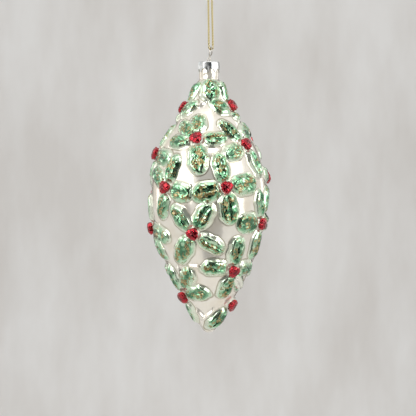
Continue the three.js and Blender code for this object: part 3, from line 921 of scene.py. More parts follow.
@dataclass
class Relief:
    """The raised pads of the shell: soft slopes up to each leaf and to the middle of each sprig."""

    outline: BulbOutline
    sprigs: list[Sprig]
    pad_height: float = 1.7
    slope_out: float = 1.6
    slope_in: float = 1.5
    vein_depth: float = 0.55
    vein_width: float = 0.75
    vein_fade: tuple[float, float] = (2.0, 3.0)
    hub_height: float = 1.25
    hub_radius: float = 3.0
    hub_slope: float = 1.3
    blend: float = 4.0
    ripple: float = 0.22
    ripple_turns: tuple[int, int] = (5, 3)
    ripple_lengths: tuple[float, float] = (7.0, 5.3)
    # Between these distances from the middle of a sprig, the glass comes clear of its berries.
    shelter: tuple[float, float] = (3.0, 5.2)
    sprig_reach: float = 25.0
    ridge_slope: tuple[float, float] = (1.0, 0.7)
    # Bare swellings: a pad is its turn, place, radius and height, a ridge its turn, place, bearing, length,
    # width and height.
    plain_pads: tuple[tuple[float, float, float, float], ...] = ((-27, 9.4, 2.4, 1.3),)
    ridges: tuple[tuple[float, ...], ...] = (
        (-29, 91.1, -60, 7.0, 1.4, 1.5),
        (-5, 91.3, 45, 8.0, 1.4, 1.5),
        (-20, 71.4, 0, 7.5, 1.4, 0.9),
        (-43, 74.2, -72, 8.0, 1.4, 1.0),
    )

    def towards(self, sprig: Sprig, turn: np.ndarray, along: np.ndarray) -> tuple[np.ndarray, np.ndarray]:
        """Measures points from a sprig's middle, over the glass.

        Args:
            sprig: the sprig.
            turn: turns in radians.
            along: distances along the outline.

        Returns:
            How far east and up of the sprig's middle each point is.
        """
        swing = turn - math.radians(sprig.turn)
        swing = (swing + math.pi) % (2 * math.pi) - math.pi
        return swing * self.outline.radius(along), self.outline.arc * sprig.place / 100 - along

    def rise(self, leaf: Leaf, forward: np.ndarray, aside: np.ndarray) -> tuple[np.ndarray, np.ndarray]:
        """Measures a leaf's pad.

        Args:
            leaf: the leaf.
            forward: how far along the leaf, from the sprig's middle.
            aside: how far to the left of the leaf's middle line.

        Returns:
            How high the pad lifts the glass, and how far inside the leaf each point is.
        """
        inside = leaf.inside(forward, aside)
        lift = self.pad_height * smooth_step((inside + self.slope_out) / (self.slope_out + self.slope_in))
        from_root = (forward - leaf.root) / self.vein_fade[0]
        from_tip = (leaf.reach - forward) / self.vein_fade[1]
        ends = smooth_step(from_root) * smooth_step(from_tip)
        return lift - ends * self.vein_depth * np.exp(-((aside / self.vein_width) ** 2)), inside

    def survey(self, turn: np.ndarray, along: np.ndarray) -> tuple[np.ndarray, np.ndarray, np.ndarray]:
        """Measures the relief.

        Args:
            turn: turns in radians.
            along: distances along the outline.

        Returns:
            The height over the bare glass, how far inside the nearest leaf each point is, and how clear of
            the berries it is from 0 to 1.
        """
        total = np.zeros(turn.shape)
        nearest = np.full(turn.shape, -self.sprig_reach)
        clear = np.ones(turn.shape)
        for sprig in self.sprigs:
            east, up = self.towards(sprig, turn, along)
            close = np.hypot(east, up) < self.sprig_reach
            near_east, near_up = east[close], up[close]
            if sprig.berried:
                away = np.hypot(near_east, near_up)
                gap = self.hub_radius - away
                lift = self.hub_height * smooth_step((gap + self.hub_slope) / (2 * self.hub_slope))
                total[close] += lift**self.blend
                share = (away - self.shelter[0]) / (self.shelter[1] - self.shelter[0])
                clear[close] = np.minimum(clear[close], smooth_step(share))
            for leaf in sprig.leaves:
                lift, inside = self.rise(leaf, *leaf.local(near_east, near_up))
                total[close] += np.maximum(lift, 0) ** self.blend
                nearest[close] = np.maximum(nearest[close], inside)
        low, high = self.ridge_slope
        for degrees, place, radius, height in self.plain_pads:
            pad = Sprig("", degrees, place, ())
            gap = radius - np.hypot(*self.towards(pad, turn, along))
            total += (height * smooth_step((gap + low) / (2 * low))) ** self.blend
        for degrees, place, bearing, length, width, height in self.ridges:
            ridge = Leaf(bearing, length / 2, width, -length / 2)
            inside = ridge.inside(*ridge.local(*self.towards(Sprig("", degrees, place, ()), turn, along)))
            total += (height * smooth_step((inside + low) / (low + high))) ** self.blend
        (many, few), (long, short) = self.ripple_turns, self.ripple_lengths
        waves = np.sin(many * turn + along / long) * np.sin(along / short - few * turn)
        return total ** (1 / self.blend) + self.ripple * waves, nearest, clear


# Sub-assemblies


@dataclass
class BlownShell:
    """The silvered shell: raised relief outside, one even wall, and an open neck."""

    outline: BulbOutline
    relief: Relief
    finish: SilveredGlass = SilveredGlass()
    sides: int = 512
    rows: int = 430
    neck_rows: int = 24
    neck_bare: float = 3.4
    neck_waves: float = 0.16
    neck_swirl: tuple[int, float, float] = (3, 1.2, 0.9)
    inner_rows: int = 40
    neck_top: float = 0.77
    lip_depth: float = 0.3
    lip_round: float = 0.25
    fade: float = 6.0
    mist_most: float = 0.5
    mist_reach: float = 2.1
    mist_fade: float = 1.5
    # Where the line of painted shade at each pad's foot lies, and how wide it is.
    foot_reach: float = 1.5
    foot_width: float = 0.3

    def build(self) -> None:
        """Makes the shell and settles it in place of its node."""
        outline = self.outline
        turn = round_turns(self.sides, math.pi)
        along = outline.arc * np.linspace(1.0, 0.0, self.rows + 1)[1:]
        turns, alongs = np.meshgrid(turn, along)
        height, nearest, clear = self.relief.survey(turns, alongs)
        height *= smooth_step(alongs / self.fade) * smooth_step((outline.arc - alongs) / self.fade)
        outside = outline.over(turns, alongs, height)
        inner_along = outline.arc * np.linspace(0.0, 1.0, self.inner_rows + 1)[:-1]
        inner_turns, inner_alongs = np.meshgrid(turn, inner_along)
        inside = outline.over(inner_turns, inner_alongs, np.full(inner_turns.shape, -outline.wall))
        lip_height = outline.cap_top - self.neck_top
        end_height = outline.cap_top - outline.neck_end
        bore = outline.neck_radius - outline.wall
        heights = np.linspace(end_height, lip_height, self.neck_rows + 1)[1:]
        neck = []
        for z in heights[:-1]:
            neck.append(self.ring(turn, outline.neck_radius + self.neck_wave(turn, z - end_height), z))
        mouth, low, curl = outline.neck_radius, -self.lip_depth, self.lip_round
        rounded = [(mouth, low), (mouth - curl, 0.0), (bore + curl, 0.0), (bore, low)]
        neck += [self.ring(turn, radius, lip_height + z) for radius, z in rounded]
        neck += [self.ring(turn, bore, z) for z in heights[-2::-1]]
        rings = np.concatenate([outside, np.array(neck), inside[1:]])
        tip = np.array([0.0, 0.0, outline.cap_top - outline.tip_drop])
        shell = loft(rings, tip, tip + np.array([0.0, 0.0, outline.wall]))
        mist = self.mist_most * smooth_step((nearest + self.mist_reach) / self.mist_fade)
        # Painted shade: a thin line round the foot of each pad, where the crease is shaded.
        foot = np.exp(-(((nearest + self.foot_reach) / self.foot_width) ** 2))
        for label, value in (("mist", mist), ("clear", clear), ("foot", foot)):
            shell.values[label] = np.zeros(len(shell.points))
            shell.values[label][: value.size] = value.ravel()
        piece = add_piece("blown_shell", shell, self.finish.material())
        settle(piece, Body.GLASS, Slot.GLASS, "glass_body")

    def neck_wave(self, turn: np.ndarray, above: float) -> np.ndarray:
        """Waves the neck a little below the skirt of the cap.

        Args:
            turn: turns in radians.
            above: the height over the neck's end.

        Returns:
            How far the neck stands out, or in where it is less than nothing.
        """
        share = np.clip(above / self.neck_bare, 0.0, 1.0)
        waves, start, swirl = self.neck_swirl
        return self.neck_waves * math.sin(math.pi * share) * np.sin(waves * turn + start - swirl * above)

    @staticmethod
    def ring(turn: np.ndarray, radius: float | np.ndarray, height: float) -> np.ndarray:
        """A level ring of points."""
        return np.column_stack([radius * np.sin(turn), -radius * np.cos(turn), np.full(turn.shape, height)])


@dataclass(frozen=True)
class Brushed:
    """How one leaf was brushed: how far ahead and aside of its relief, and how far past its edge."""

    leaf: Leaf
    ahead: float
    aside: float
    spread: float


@dataclass
class LacqueredLeaves:
    """The leaves of each sprig, in lacquer a little proud of the relief under them."""

    outline: BulbOutline
    relief: Relief
    finish: GreenLacquer = GreenLacquer()
    sides: int = 72
    rings: int = 20
    coat: float = 0.15
    plunge: float = 0.45
    edge: float = 0.5
    spread: float = 0.85
    uneven: float = 0.4
    uneven_pace: int = 7
    stray: float = 0.6
    # Three uneven numbers that give each leaf a chance of its own, always the same.
    chances: tuple[float, float, float] = (12.9, 78.2, 43758.5)
    # Leaves that the brush missed by more: sprig, bearing, and how far ahead and aside.
    strays: tuple[tuple[str, float, float, float], ...] = (
        ("neck_1", 90, 0.2, -1.6),
        ("taper_1", 92, 0.0, -1.0),
        ("lower_1", 328, 0.4, -0.6),
        ("upper_2", 118, -0.4, 0.9),
    )
    full_depth: float = 3.3
    edge_clear: float = 0.5
    edge_band: float = 1.4
    crown: float = 0.02
    lump: float = 3.3
    lump_height: float = 0.12
    lump_wander: tuple[float, float] = (1.2, 1.3)
    lump_across: float = 0.85
    lump_shear: float = 0.7
    lump_start: tuple[float, float] = (1.3, 1.2)
    under: float = 0.5
    least_lift: float = 0.05
    bare_line: tuple[float, float] = (1.0, 0.5)
    hub_margin: float = 0.5
    hub_depth: float = 0.04
    hub_band: float = 0.8
    hub_rings: int = 7
    under_rings: tuple[int, int] = (-1, -6)

    def brushed(self, sprig: Sprig, leaf: Leaf) -> Brushed:
        """Finds the oval that the brush covered, off the leaf's own by the leaf's own chance.

        Args:
            sprig: the leaf's sprig.
            leaf: the leaf.

        Returns:
            The leaf as it was brushed.
        """
        by_turn, by_bearing, stretch = self.chances
        chance = math.sin(by_turn * sprig.turn + by_bearing * leaf.bearing) * stretch
        way = 2 * math.pi * (chance % 1)
        spread = self.spread + self.uneven * math.sin(self.uneven_pace * way)
        for name, bearing, ahead, aside in self.strays:
            if (name, bearing) == (sprig.name, leaf.bearing):
                return Brushed(leaf, ahead, aside, spread)
        return Brushed(leaf, self.stray * math.cos(way), self.stray * math.sin(way), spread)

    def pad(self, sprig: Sprig, leaf: Leaf) -> Shell:
        """Makes one leaf, from its middle out to its edge and back under the glass.

        Args:
            sprig: the leaf's sprig.
            leaf: the leaf.

        Returns:
            The closed pad.
        """
        angles = round_turns(self.sides)
        power = leaf.bluntness
        blunt = (np.abs(np.cos(angles)) ** power + np.abs(np.sin(angles)) ** power) ** (-1 / power)
        shares = np.linspace(0.0, 1.0, self.rings + 1)[1:, None]
        oval = self.brushed(sprig, leaf)
        half_length = (leaf.reach - leaf.root) / 2
        middle = leaf.root + half_length + oval.ahead
        forward = middle + (half_length + oval.spread) * shares * blunt * np.cos(angles)
        aside = oval.aside + (leaf.width / 2 + oval.spread) * shares * blunt * np.sin(angles)
        return self.close(sprig, oval, (forward, aside), (np.array([middle]), np.array([oval.aside])))

    def lumps(self, sprig: Sprig, forward: np.ndarray, aside: np.ndarray) -> np.ndarray:
        """Works out the lumps that the blown relief and the glitter leave on a leaf.

        Args:
            sprig: the leaf's sprig.
            forward: how far along the leaf, from the sprig's middle.
            aside: how far to the left of the leaf's middle line.

        Returns:
            The height that the lumps add.
        """
        far, pace = self.lump_wander
        wander = sprig.turn + far * np.sin(pace * aside + sprig.turn)
        across = np.cos(2 * math.pi * aside / (self.lump_across * self.lump) + self.lump_shear * forward)
        return self.lump_height * np.sin(2 * math.pi * forward / self.lump + wander) * across

    def close(
        self,
        sprig: Sprig,
        oval: Brushed | None,
        grid: tuple[np.ndarray, np.ndarray],
        centre: tuple[np.ndarray, np.ndarray],
    ) -> Shell:
        """Lifts a grid over the glass, and closes it underneath.

        Args:
            sprig: the sprig that it belongs to.
            oval: the leaf as it was brushed, or nothing for the middle of the sprig.
            grid: forward and aside of each point, or east and up in the middle of a sprig.
            centre: the same of the middle point.

        Returns:
            The closed pad.
        """
        top, depth, clear = self.surface(sprig, oval, *grid)
        middle, middle_depth, middle_clear = self.surface(sprig, oval, *centre)
        under = []
        for k in self.under_rings:
            under.append(self.surface(sprig, oval, *[axis[k] for axis in grid], below=True)[0])
        bottom = self.surface(sprig, oval, *centre, below=True)[0]
        shell = loft(np.vstack([top, under]), middle, bottom)
        for label, value, last in (("lacquer_depth", depth, middle_depth), ("clear", clear, middle_clear)):
            shell.values[label] = np.zeros(len(shell.points))
            shell.values[label][: value.size] = value.ravel()
            shell.values[label][-2] = last[0]
        return shell

    def surface(
        self,
        sprig: Sprig,
        oval: Brushed | None,
        forward: np.ndarray,
        aside: np.ndarray,
        below: bool = False,
    ) -> tuple[np.ndarray, np.ndarray, np.ndarray]:
        """Lifts points of a pad over the glass.

        Args:
            sprig: the sprig that they belong to.
            oval: the leaf as it was brushed, or nothing for the middle of the sprig.
            forward: forward of each point, or east in the middle of a sprig.
            aside: aside of each point, or up in the middle of a sprig.
            below: whether it is the underside, which has no lacquer of its own.

        Returns:
            The points, how deep the lacquer is, and how clear of the berries they are.
        """
        east, up = oval.leaf.place(forward, aside) if oval else (forward, aside)
        along = self.outline.arc * sprig.place / 100 - up
        turn = math.radians(sprig.turn) + east / self.outline.radius(along)
        height, _, clear = self.relief.survey(turn, along)
        if below:
            low = np.maximum(height - self.plunge - self.under, self.least_lift)
            return self.outline.over(turn, along, low), np.zeros(low.shape), clear
        if oval:
            inside = oval.leaf.inside(forward - oval.ahead, aside - oval.aside) + oval.spread
            start, band = self.lump_start
            height = height + self.lumps(sprig, forward, aside) * smooth_step((inside - start) / band)
            depth = np.clip(inside / self.full_depth, 0, 1)
        else:
            inside = self.relief.hub_radius + self.hub_margin - np.hypot(forward, aside)
            depth = self.hub_depth * smooth_step(inside / self.hub_band)
        proud = self.coat + self.crown * inside + self.plunge
        height = height - self.plunge + proud * smooth_step(inside / self.edge)
        if oval and not oval.leaf.lacquered:
            line, width = self.bare_line
            depth = np.exp(-(((inside - line) / width) ** 2))
        clear = clear * (self.edge_clear + (1 - self.edge_clear) * smooth_step(inside / self.edge_band))
        return self.outline.over(turn, along, height), depth, clear

    def hub(self, sprig: Sprig) -> Shell:
        """Makes the middle of a sprig, under its berries.

        Args:
            sprig: the sprig.

        Returns:
            The closed pad.
        """
        angles = round_turns(self.sides)
        shares = (self.relief.hub_radius + self.hub_margin) * np.linspace(0.0, 1.0, self.hub_rings)[1:, None]
        grid = (shares * np.cos(angles), shares * np.sin(angles))
        return self.close(sprig, None, grid, (np.array([0.0]), np.array([0.0])))

    def build(self) -> None:
        """Makes each sprig's leaves and settles them in place of their node."""
        material = self.finish.material()
        for sprig in self.relief.sprigs:
            shells = [self.pad(sprig, leaf) for leaf in sprig.leaves]
            if sprig.berried:
                shells.append(self.hub(sprig))
            piece = add_piece(f"lacquer_{sprig.name}", gather(shells), material)
            node = f"leaves_{sprig.name}" if sprig.berried else f"leaf_{sprig.name}"
            settle(piece, Body.GLASS, Slot.LEAF, node)


@dataclass
class EnamelledBerries:
    """The cluster of berries in the middle of each sprig."""

    outline: BulbOutline
    sprigs: list[Sprig]
    finish: RedEnamel = RedEnamel()
    radius: float = 2.45
    spread: float = 1.15
    height: float = 2.0
    count: int = 3
    first_turn: float = 45.0
    middle_radius: float = 2.0
    middle_height: float = 2.15
    # A cluster grows from a core over the glass, is squashed above its brow and cut off at its floor.
    core: float = 1.9
    floor: float = 0.8
    pip: float = 2.0
    pip_height: float = 0.2
    side_pips: float = 0.6
    melt: float = 8.0
    shrink: float = 0.94
    brow: float = 2.6
    squash: float = 0.45
    off_middle: float = 0.25
    # Painted shade in the creases between the berries, and a painted dark reflection on the middle of the
    # cluster: how wide and how dark each is.
    crease_width: float = 0.4
    crease_shade: float = 0.7
    reflection_reach: float = 1.9
    reflection_dark: float = 0.6
    reflection_edge: float = 1.5
    least_reach: float = 0.01
    sides: int = 60
    rings: int = 36

    def balls(self, sprig: Sprig) -> tuple[np.ndarray, np.ndarray]:
        """Places a cluster's berries.

        Args:
            sprig: the sprig that they sit on.

        Returns:
            Their middles, from the core over the glass, and their radii.
        """
        spin = math.radians(sprig.leaves[0].bearing + self.first_turn)
        turns = spin + 2 * math.pi * np.arange(self.count) / self.count
        ring = np.column_stack([np.cos(turns), np.sin(turns), np.zeros(self.count)]) * self.spread
        ring[:, 2] = self.height - self.core
        off = self.off_middle
        top = [off * math.cos(spin), off * math.sin(spin), self.middle_height - self.core]
        return np.vstack([ring, top]), np.array([self.radius] * self.count + [self.middle_radius])

    def cluster(self, sprig: Sprig) -> Shell:
        """Runs the berries of one sprig together as one glossy lump with small pips.

        Args:
            sprig: the sprig that they sit on.

        Returns:
            The closed lump, in place.
        """
        centres, radii = self.balls(sprig)
        polar = np.linspace(0.0, math.pi, self.rings + 2)[:, None]
        round_it = round_turns(self.sides)
        parts = (np.sin(polar) * np.cos(round_it), np.sin(polar) * np.sin(round_it), np.cos(polar))
        way = np.stack(np.broadcast_arrays(*parts), axis=-1)
        ahead = way @ centres.T
        square = np.maximum(ahead**2 - (centres**2).sum(1) + radii**2, self.least_reach)
        reaches = np.sort(ahead + np.sqrt(square), axis=-1)
        # Painted shade: the crease between two berries is darkened.
        painted_dark = 1 - smooth_step((reaches[..., -1] - reaches[..., -2]) / self.crease_width)
        melted = self.shrink * (reaches**self.melt).sum(axis=-1) ** (1 / self.melt)
        local = way * melted[..., None]
        # Painted dark reflection, darkest on the middle of the cluster's top.
        inward = 1 - np.hypot(local[..., 0], local[..., 1]) / self.reflection_reach
        painted_reflection = self.reflection_dark * smooth_step(self.reflection_edge * inward)
        painted_dark = np.maximum(self.crease_shade * painted_dark, painted_reflection * (way[..., 2] > 0))
        wave = 2 * math.pi / self.pip
        pips = np.sin(wave * local[..., 0] + sprig.turn) * np.sin(wave * local[..., 1] + sprig.place)
        pips = pips + self.side_pips * np.sin(wave * (local[..., 2] + self.side_pips * local[..., 0]))
        local += (self.pip_height * pips)[..., None] * way
        local[..., 2] += self.core
        local[..., 2] -= self.squash * np.maximum(local[..., 2] - self.brow, 0.0)
        local[..., 2] = np.maximum(local[..., 2], self.floor)
        along = np.array([self.outline.arc * sprig.place / 100])
        turn = np.array([math.radians(sprig.turn)])
        middle, above = [self.outline.over(turn, along, np.array([lift]))[0] for lift in (0.0, 1.0)]
        out = above - middle
        east = np.array([math.cos(turn[0]), math.sin(turn[0]), 0.0])
        placed = middle + local @ np.array([east, np.cross(out, east), out])
        shell = loft(placed[1:-1], placed[0, 0], placed[-1, 0])
        # The painted shade and painted dark reflection go to the enamel as one value.
        shell.values["painted_dark"] = np.concatenate([painted_dark[1:-1].ravel(), [painted_dark[0, 0], painted_dark[-1, 0]]])
        return shell

    def build(self) -> None:
        """Makes each cluster and settles it in place of its node."""
        material = self.finish.material()
        for sprig in self.sprigs:
            if sprig.berried:
                piece = add_piece(f"enamel_{sprig.name}", self.cluster(sprig), material)
                settle(piece, Body.GLASS, Slot.BERRY, f"berries_{sprig.name}")


@dataclass
class PressedCap:
    """The pressed cap: a thin cup whose skirt has a flat facet down to each tooth, with scallops between."""

    top: float = -61.8
    radius: float = 5.6
    wall: float = 0.3
    height: float = 5.7
    corner: float = 0.7
    crown: float = 0.12
    scallops: int = 8
    land: float = 0.6
    facet: float = 0.34
    flare: float = 0.12
    phase: float = -8.0
    hem: float = 0.08
    hole_radius: float = 0.7
    hole_sides: int = 32
    leg_spread: float = 1.8
    leg_turn: float = 110.0
    steps: int = 28
    top_shares: tuple[float, ...] = (0.15, 0.45, 0.75)
    corner_rows: int = 7
    skirt_rows: int = 12
    crisp: float = 50.0
    finish: DrawnMetal = DrawnMetal("bright_tinplate", "EEEFEE", "C2C8CC", 0.24, 1.6)

    def skirt_end(self, turn: np.ndarray) -> np.ndarray:
        """Works out the scallops of the skirt, with short lands between.

        Args:
            turn: turns in radians.

        Returns:
            The height of the skirt's end over the cap's top, less than nothing.
        """
        pitch = 2 * math.pi / self.scallops
        aside = self.radius * ((turn - math.radians(self.phase)) % pitch - pitch / 2)
        arch = (pitch * self.radius - self.land) / 2
        return -self.height + np.sqrt(np.maximum(arch**2 - aside**2, 0.0))

    def rings(self, turn: np.ndarray) -> np.ndarray:
        """Lays out the cap's rings.

        Args:
            turn: the turns of their points in radians.

        Returns:
            The rings, from the middle of the top out, down and back up inside.
        """
        half = math.pi / self.scallops
        off = (turn - math.radians(self.phase) + half) % (2 * half) - half
        flat_share = (1 / np.cos(off) - 1 / math.cos(half)) / (1 - 1 / math.cos(half))
        end = self.skirt_end(turn)
        rings = []
        for inset in (0.0, self.wall):
            face = []
            corner = self.corner - inset
            for share in self.top_shares:
                flat = share * (self.radius - self.corner)
                face.append((np.full(turn.shape, flat), np.full(turn.shape, -self.crown * share - inset)))
            for angle in np.linspace(0.5 * math.pi, 0.0, self.corner_rows):
                out = self.radius - self.corner + corner * math.cos(angle)
                down = -self.crown - self.corner + corner * math.sin(angle)
                inward = self.facet * flat_share * (1 - math.sin(angle))
                face.append((out - inward, np.full(turn.shape, down)))
            start = -self.crown - self.corner
            for share in np.linspace(0.0, 1.0, self.skirt_rows)[1:]:
                shape = self.flare * share - self.facet * flat_share
                face.append((self.radius - inset + shape, start + share * (end - start)))
            rings.append(face)
        edge = [(rings[0][-1][0] - self.wall / 2, rings[0][-1][1] - self.hem)]
        order = rings[0] + edge + rings[1][::-1]
        return np.array([self.level(turn, out, down) for out, down in order])

    def level(self, turn: np.ndarray, out: np.ndarray, down: np.ndarray) -> np.ndarray:
        """Points at each turn, so far out and so far under the cap's top."""
        return np.column_stack([out * np.sin(turn), -out * np.cos(turn), self.top + down])

    def build(self) -> None:
        """Makes the cap, pierces it for the wire and settles it in place of its node."""
        turn = round_turns(self.scallops * self.steps, math.pi)
        middle = np.array([0.0, 0.0, self.top])
        shell = loft(self.rings(turn), middle, middle - np.array([0.0, 0.0, self.wall]))
        piece = add_piece("pressed_cap", shell, self.finish.material(), self.crisp)
        for side in (-1, 1):
            self.pierce(piece, side * self.leg_spread)
        settle(piece, Body.CAP, Slot.CAP, "cap")

    def pierce(self, piece: bpy.types.Object, aside: float) -> None:
        """Cuts one wire hole through the top.

        Args:
            piece: the cap.
            aside: how far the hole is from the middle, towards its leg.
        """
        way = math.radians(self.leg_turn)
        angles = round_turns(self.hole_sides)
        ring = np.column_stack([np.cos(angles), np.sin(angles), np.zeros(angles.shape)]) * self.hole_radius
        middle = np.array([aside * math.cos(way), aside * math.sin(way), self.top])
        ends = [middle + np.array([0.0, 0.0, lift]) for lift in (1.0, -1.0)]
        shell = loft(np.array([ring + end for end in ends]), *ends)
        punch = add_piece("punch", shell, piece.data.materials[0])
        cut = piece.modifiers.new("wire_hole", "BOOLEAN")
        cut.object = punch
        cut.operation = "DIFFERENCE"
        view = bpy.context.evaluated_depsgraph_get()
        pierced = bpy.data.meshes.new_from_object(piece.evaluated_get(view))
        piece.modifiers.clear()
        piece.data = pierced
        bpy.data.objects.remove(punch)


@dataclass
class WireHanger:
    """The spring wire: two legs in the neck, a crossing over the cap and an eye for the cord."""

    diameter: float = 0.6
    cap_top: float = -61.8
    turn: float = 110.0
    eye_half_width: float = 1.3
    eye_lean: float = 1.0
    eye_top: float = 7.4
    crossing: float = 3.4
    crossing_gap: float = 0.4
    leg_spread: float = 1.8
    leg_reach: float = 3.35
    leg_rise: float = 2.4
    leg_straight: float = 1.1
    leg_length: float = 20.0
    leg_tip_inset: float = 1.0
    steps: int = 360
    sides: int = 16
    blunt_end: float = 0.7
    crisp: float = 50.0
    finish: DrawnMetal = DrawnMetal("drawn_spring_wire", "CFCBC2", "97928A", 0.2, 0.9)

    def route(self) -> np.ndarray:
        """Lays out the wire.

        Returns:
            Points up one leg, round the eye and down the other.
        """
        off = (self.diameter + self.crossing_gap) / 2
        eye_height = self.eye_top - self.crossing
        half = [
            (self.leg_reach - self.leg_tip_inset, -self.leg_length, 0.0, 0.0),
            (self.leg_reach, -0.8 * self.leg_length, 0.0, 0.0),
            (self.leg_reach, -0.5 * self.leg_length, 0.0, 0.0),
            (self.leg_reach, -4 * self.leg_straight, 0.0, 0.0),
            ((self.leg_spread + self.leg_reach) / 2, -2 * self.leg_straight, 0.0, 0.0),
            (self.leg_spread, -self.leg_straight, 0.0, 0.0),
            (self.leg_spread, 0.0, 0.0, 0.0),
            (self.leg_spread, 0.6 * self.leg_rise, 0.2 * off, 0.05),
            (0.8 * self.leg_spread, self.leg_rise, 0.6 * off, 0.3),
            (0.0, self.crossing, off, 0.55),
            (-0.75 * self.eye_half_width, self.crossing + 0.19 * eye_height, 0.6 * off, 0.8),
            (-self.eye_half_width, self.crossing + 0.58 * eye_height, 0.25 * off, 0.95),
            (-0.72 * self.eye_half_width, self.crossing + 0.89 * eye_height, 0.08 * off, 1.0),
        ]
        points = []
        for side in (1, -1):
            way = [self.place(side * aside, side * away, height, lean) for aside, height, away, lean in half]
            points += way + [self.place(0.0, 0.0, self.eye_top, 1.0)] if side == 1 else way[::-1]
        return np.array(points)

    def place(self, aside: float, away: float, height: float, lean: float) -> tuple[float, float, float]:
        """Finds a point in the plane of the wire, or a little away from it.

        Args:
            aside: how far aside in the plane.
            away: how far away from the plane.
            height: how far over the top of the cap.
            lean: the share of the eye's lean that it takes.

        Returns:
            The point.
        """
        way = math.radians(self.turn)
        x = aside * math.cos(way) + away * math.sin(way) + self.eye_lean * lean
        return x, aside * math.sin(way) - away * math.cos(way), self.cap_top + height

    def build(self) -> None:
        """Makes the wire and settles it in place of its node."""
        path = smooth_route(self.route(), self.steps)
        radii = np.full((len(path), self.sides), self.diameter / 2)
        radii[[0, -1]] *= self.blunt_end
        piece = add_piece("bent_wire", sweep(path, radii), self.finish.material(), self.crisp)
        settle(piece, Body.HANGER, Slot.WIRE, "hanger_wire")


@dataclass
class CordLoop:
    """The two-ply cord: a long loop, the bend of it through the eye, and the knot that closes it."""

    diameter: float = 1.0
    loop_length: float = 56.0
    turn: float = 20.0
    lean: float = 1.0
    top_bend: float = 2.05
    eye_bend: float = 1.1
    gap: float = 0.3
    lay: float = 2.9
    groove: float = 0.55
    ply_height: float = 0.5
    ply_sides: int = 20
    steps: int = 700
    bend_steps: int = 40
    knot_steps: int = 160
    knot_slack: float = 0.9
    knot_span: int = 4
    knot_place: float = 0.553
    knot_wraps: float = 2.4
    knot_radius: float = 1.28
    knot_height: float = 1.7
    tail: float = 4.4
    tail_splay: float = 0.5
    tail_offset: float = 0.7
    tail_droop: float = 0.25
    # Half of the loop's way: how far aside, and what share of the way up.
    strand: tuple[tuple[float, float], ...] = (
        (1.08, 0.116),
        (1.05, 0.23),
        (1.0, 0.363),
        (1.0, 0.497),
        (1.02, 0.63),
        (1.15, 0.763),
        (1.5, 0.868),
        (1.9, 0.95),
    )
    finish: MetallicThread = MetallicThread()

    def __post_init__(self) -> None:
        """Works out the heights of the loop's ends."""
        self.loop_top = self.diameter / 2
        self.bend_centre = self.loop_top - self.loop_length + self.eye_bend
        self.low = self.bend_centre + self.gap
        self.high = self.loop_top - self.top_bend

    def place(self, aside: float, height: float) -> tuple[float, float, float]:
        """Finds a point in the plane of the loop, which leans from over the eye to over the origin.

        Args:
            aside: how far aside in the plane.
            height: the height over the origin.

        Returns:
            The point.
        """
        way = math.radians(self.turn)
        lean = self.lean * (self.loop_top - height) / self.loop_length
        return aside * math.cos(way) + lean, aside * math.sin(way), height

    def route(self) -> np.ndarray:
        """Lays out the loop.

        Returns:
            Points up one strand, over the top and down the other.
        """
        slant = math.sqrt(0.5) * self.top_bend
        half = [(self.eye_bend, self.low), (self.eye_bend, self.low + 2 * self.diameter)]
        half += [(aside, self.low + share * (self.high - self.low)) for aside, share in self.strand]
        half += [(self.top_bend, self.high), (slant, self.high + slant)]
        up = [self.place(-aside, height) for aside, height in half]
        down = [self.place(aside, height) for aside, height in reversed(half)]
        return smooth_route(np.array([*up, self.place(0.0, self.loop_top), *down]), self.steps)

    def twisted(self, path: np.ndarray, slack: float = 1.0) -> Shell:
        """Twists two plies together along a path.

        Args:
            path: the points of the cord's middle.
            slack: the share of its own thickness that the cord has there.

        Returns:
            The cord, with its plies as a named value.
        """
        twist = 2 * math.pi * travelled_along(path)[:, None] / self.lay
        ply = np.abs(np.cos(round_turns(self.ply_sides) - twist))
        shell = sweep(path, slack * self.diameter / 2 * (self.groove + self.ply_height * ply))
        # The ply value also sets the thread's painted highlight on each crest and painted shade in each
        # groove.
        shell.values["ply"] = np.concatenate([ply.ravel(), [0.5, 0.5]])
        return shell

    def build(self) -> None:
        """Makes the cord's three pieces."""
        material = self.finish.material()
        path = self.route()
        bend = [
            self.place(self.eye_bend * math.cos(angle), self.bend_centre + self.eye_bend * math.sin(angle))
            for angle in np.linspace(math.pi, 2 * math.pi, self.bend_steps)
        ]
        eye = add_piece("cord_bend", self.twisted(np.array(bend)), material)
        settle(eye, Body.CORD, Slot.CORD, "cord_bight")
        knot = add_piece("cord_overhand", self.knot(path), material)
        settle(knot, Body.CORD, Slot.CORD, "cord_knot")
        loop = add_piece("cord_twist", self.twisted(path), material)
        settle(loop, Body.CORD, Slot.CORD, "cord_loop")

    def knot(self, path: np.ndarray) -> Shell:
        """Winds the knot: a few wraps round one strand, and the two cut ends.

        Args:
            path: the points of the loop.

        Returns:
            The knot as one shell.
        """
        at = round(self.knot_place * (len(path) - 1))
        middle = path[at]
        up = path[at - self.knot_span] - path[at + self.knot_span]
        up /= np.linalg.norm(up)
        east = np.array([1.0, 0.0, 0.0]) - up * up[0]
        east /= np.linalg.norm(east)
        north = np.cross(up, east)
        angles = np.linspace(0.0, 2 * math.pi * self.knot_wraps, self.knot_steps)
        rise = self.knot_height * (angles / angles[-1] - 0.5)
        wraps = middle + self.knot_radius * (
            np.cos(angles)[:, None] * east + np.sin(angles)[:, None] * north
        ) + rise[:, None] * up
        shells = [self.twisted(wraps, self.knot_slack)]
        for side in (-1, 1):
            start = middle + self.knot_radius * east + side * self.tail_offset * up
            way = math.cos(self.tail_splay) * east + side * math.sin(self.tail_splay) * north
            tip = start + 0.8 * self.tail * way - self.tail_droop * up
            bends = [start, start + 0.4 * self.tail * way, tip]
            shells.append(self.twisted(smooth_route(np.array(bends), self.bend_steps), self.knot_slack))
        return gather(shells)


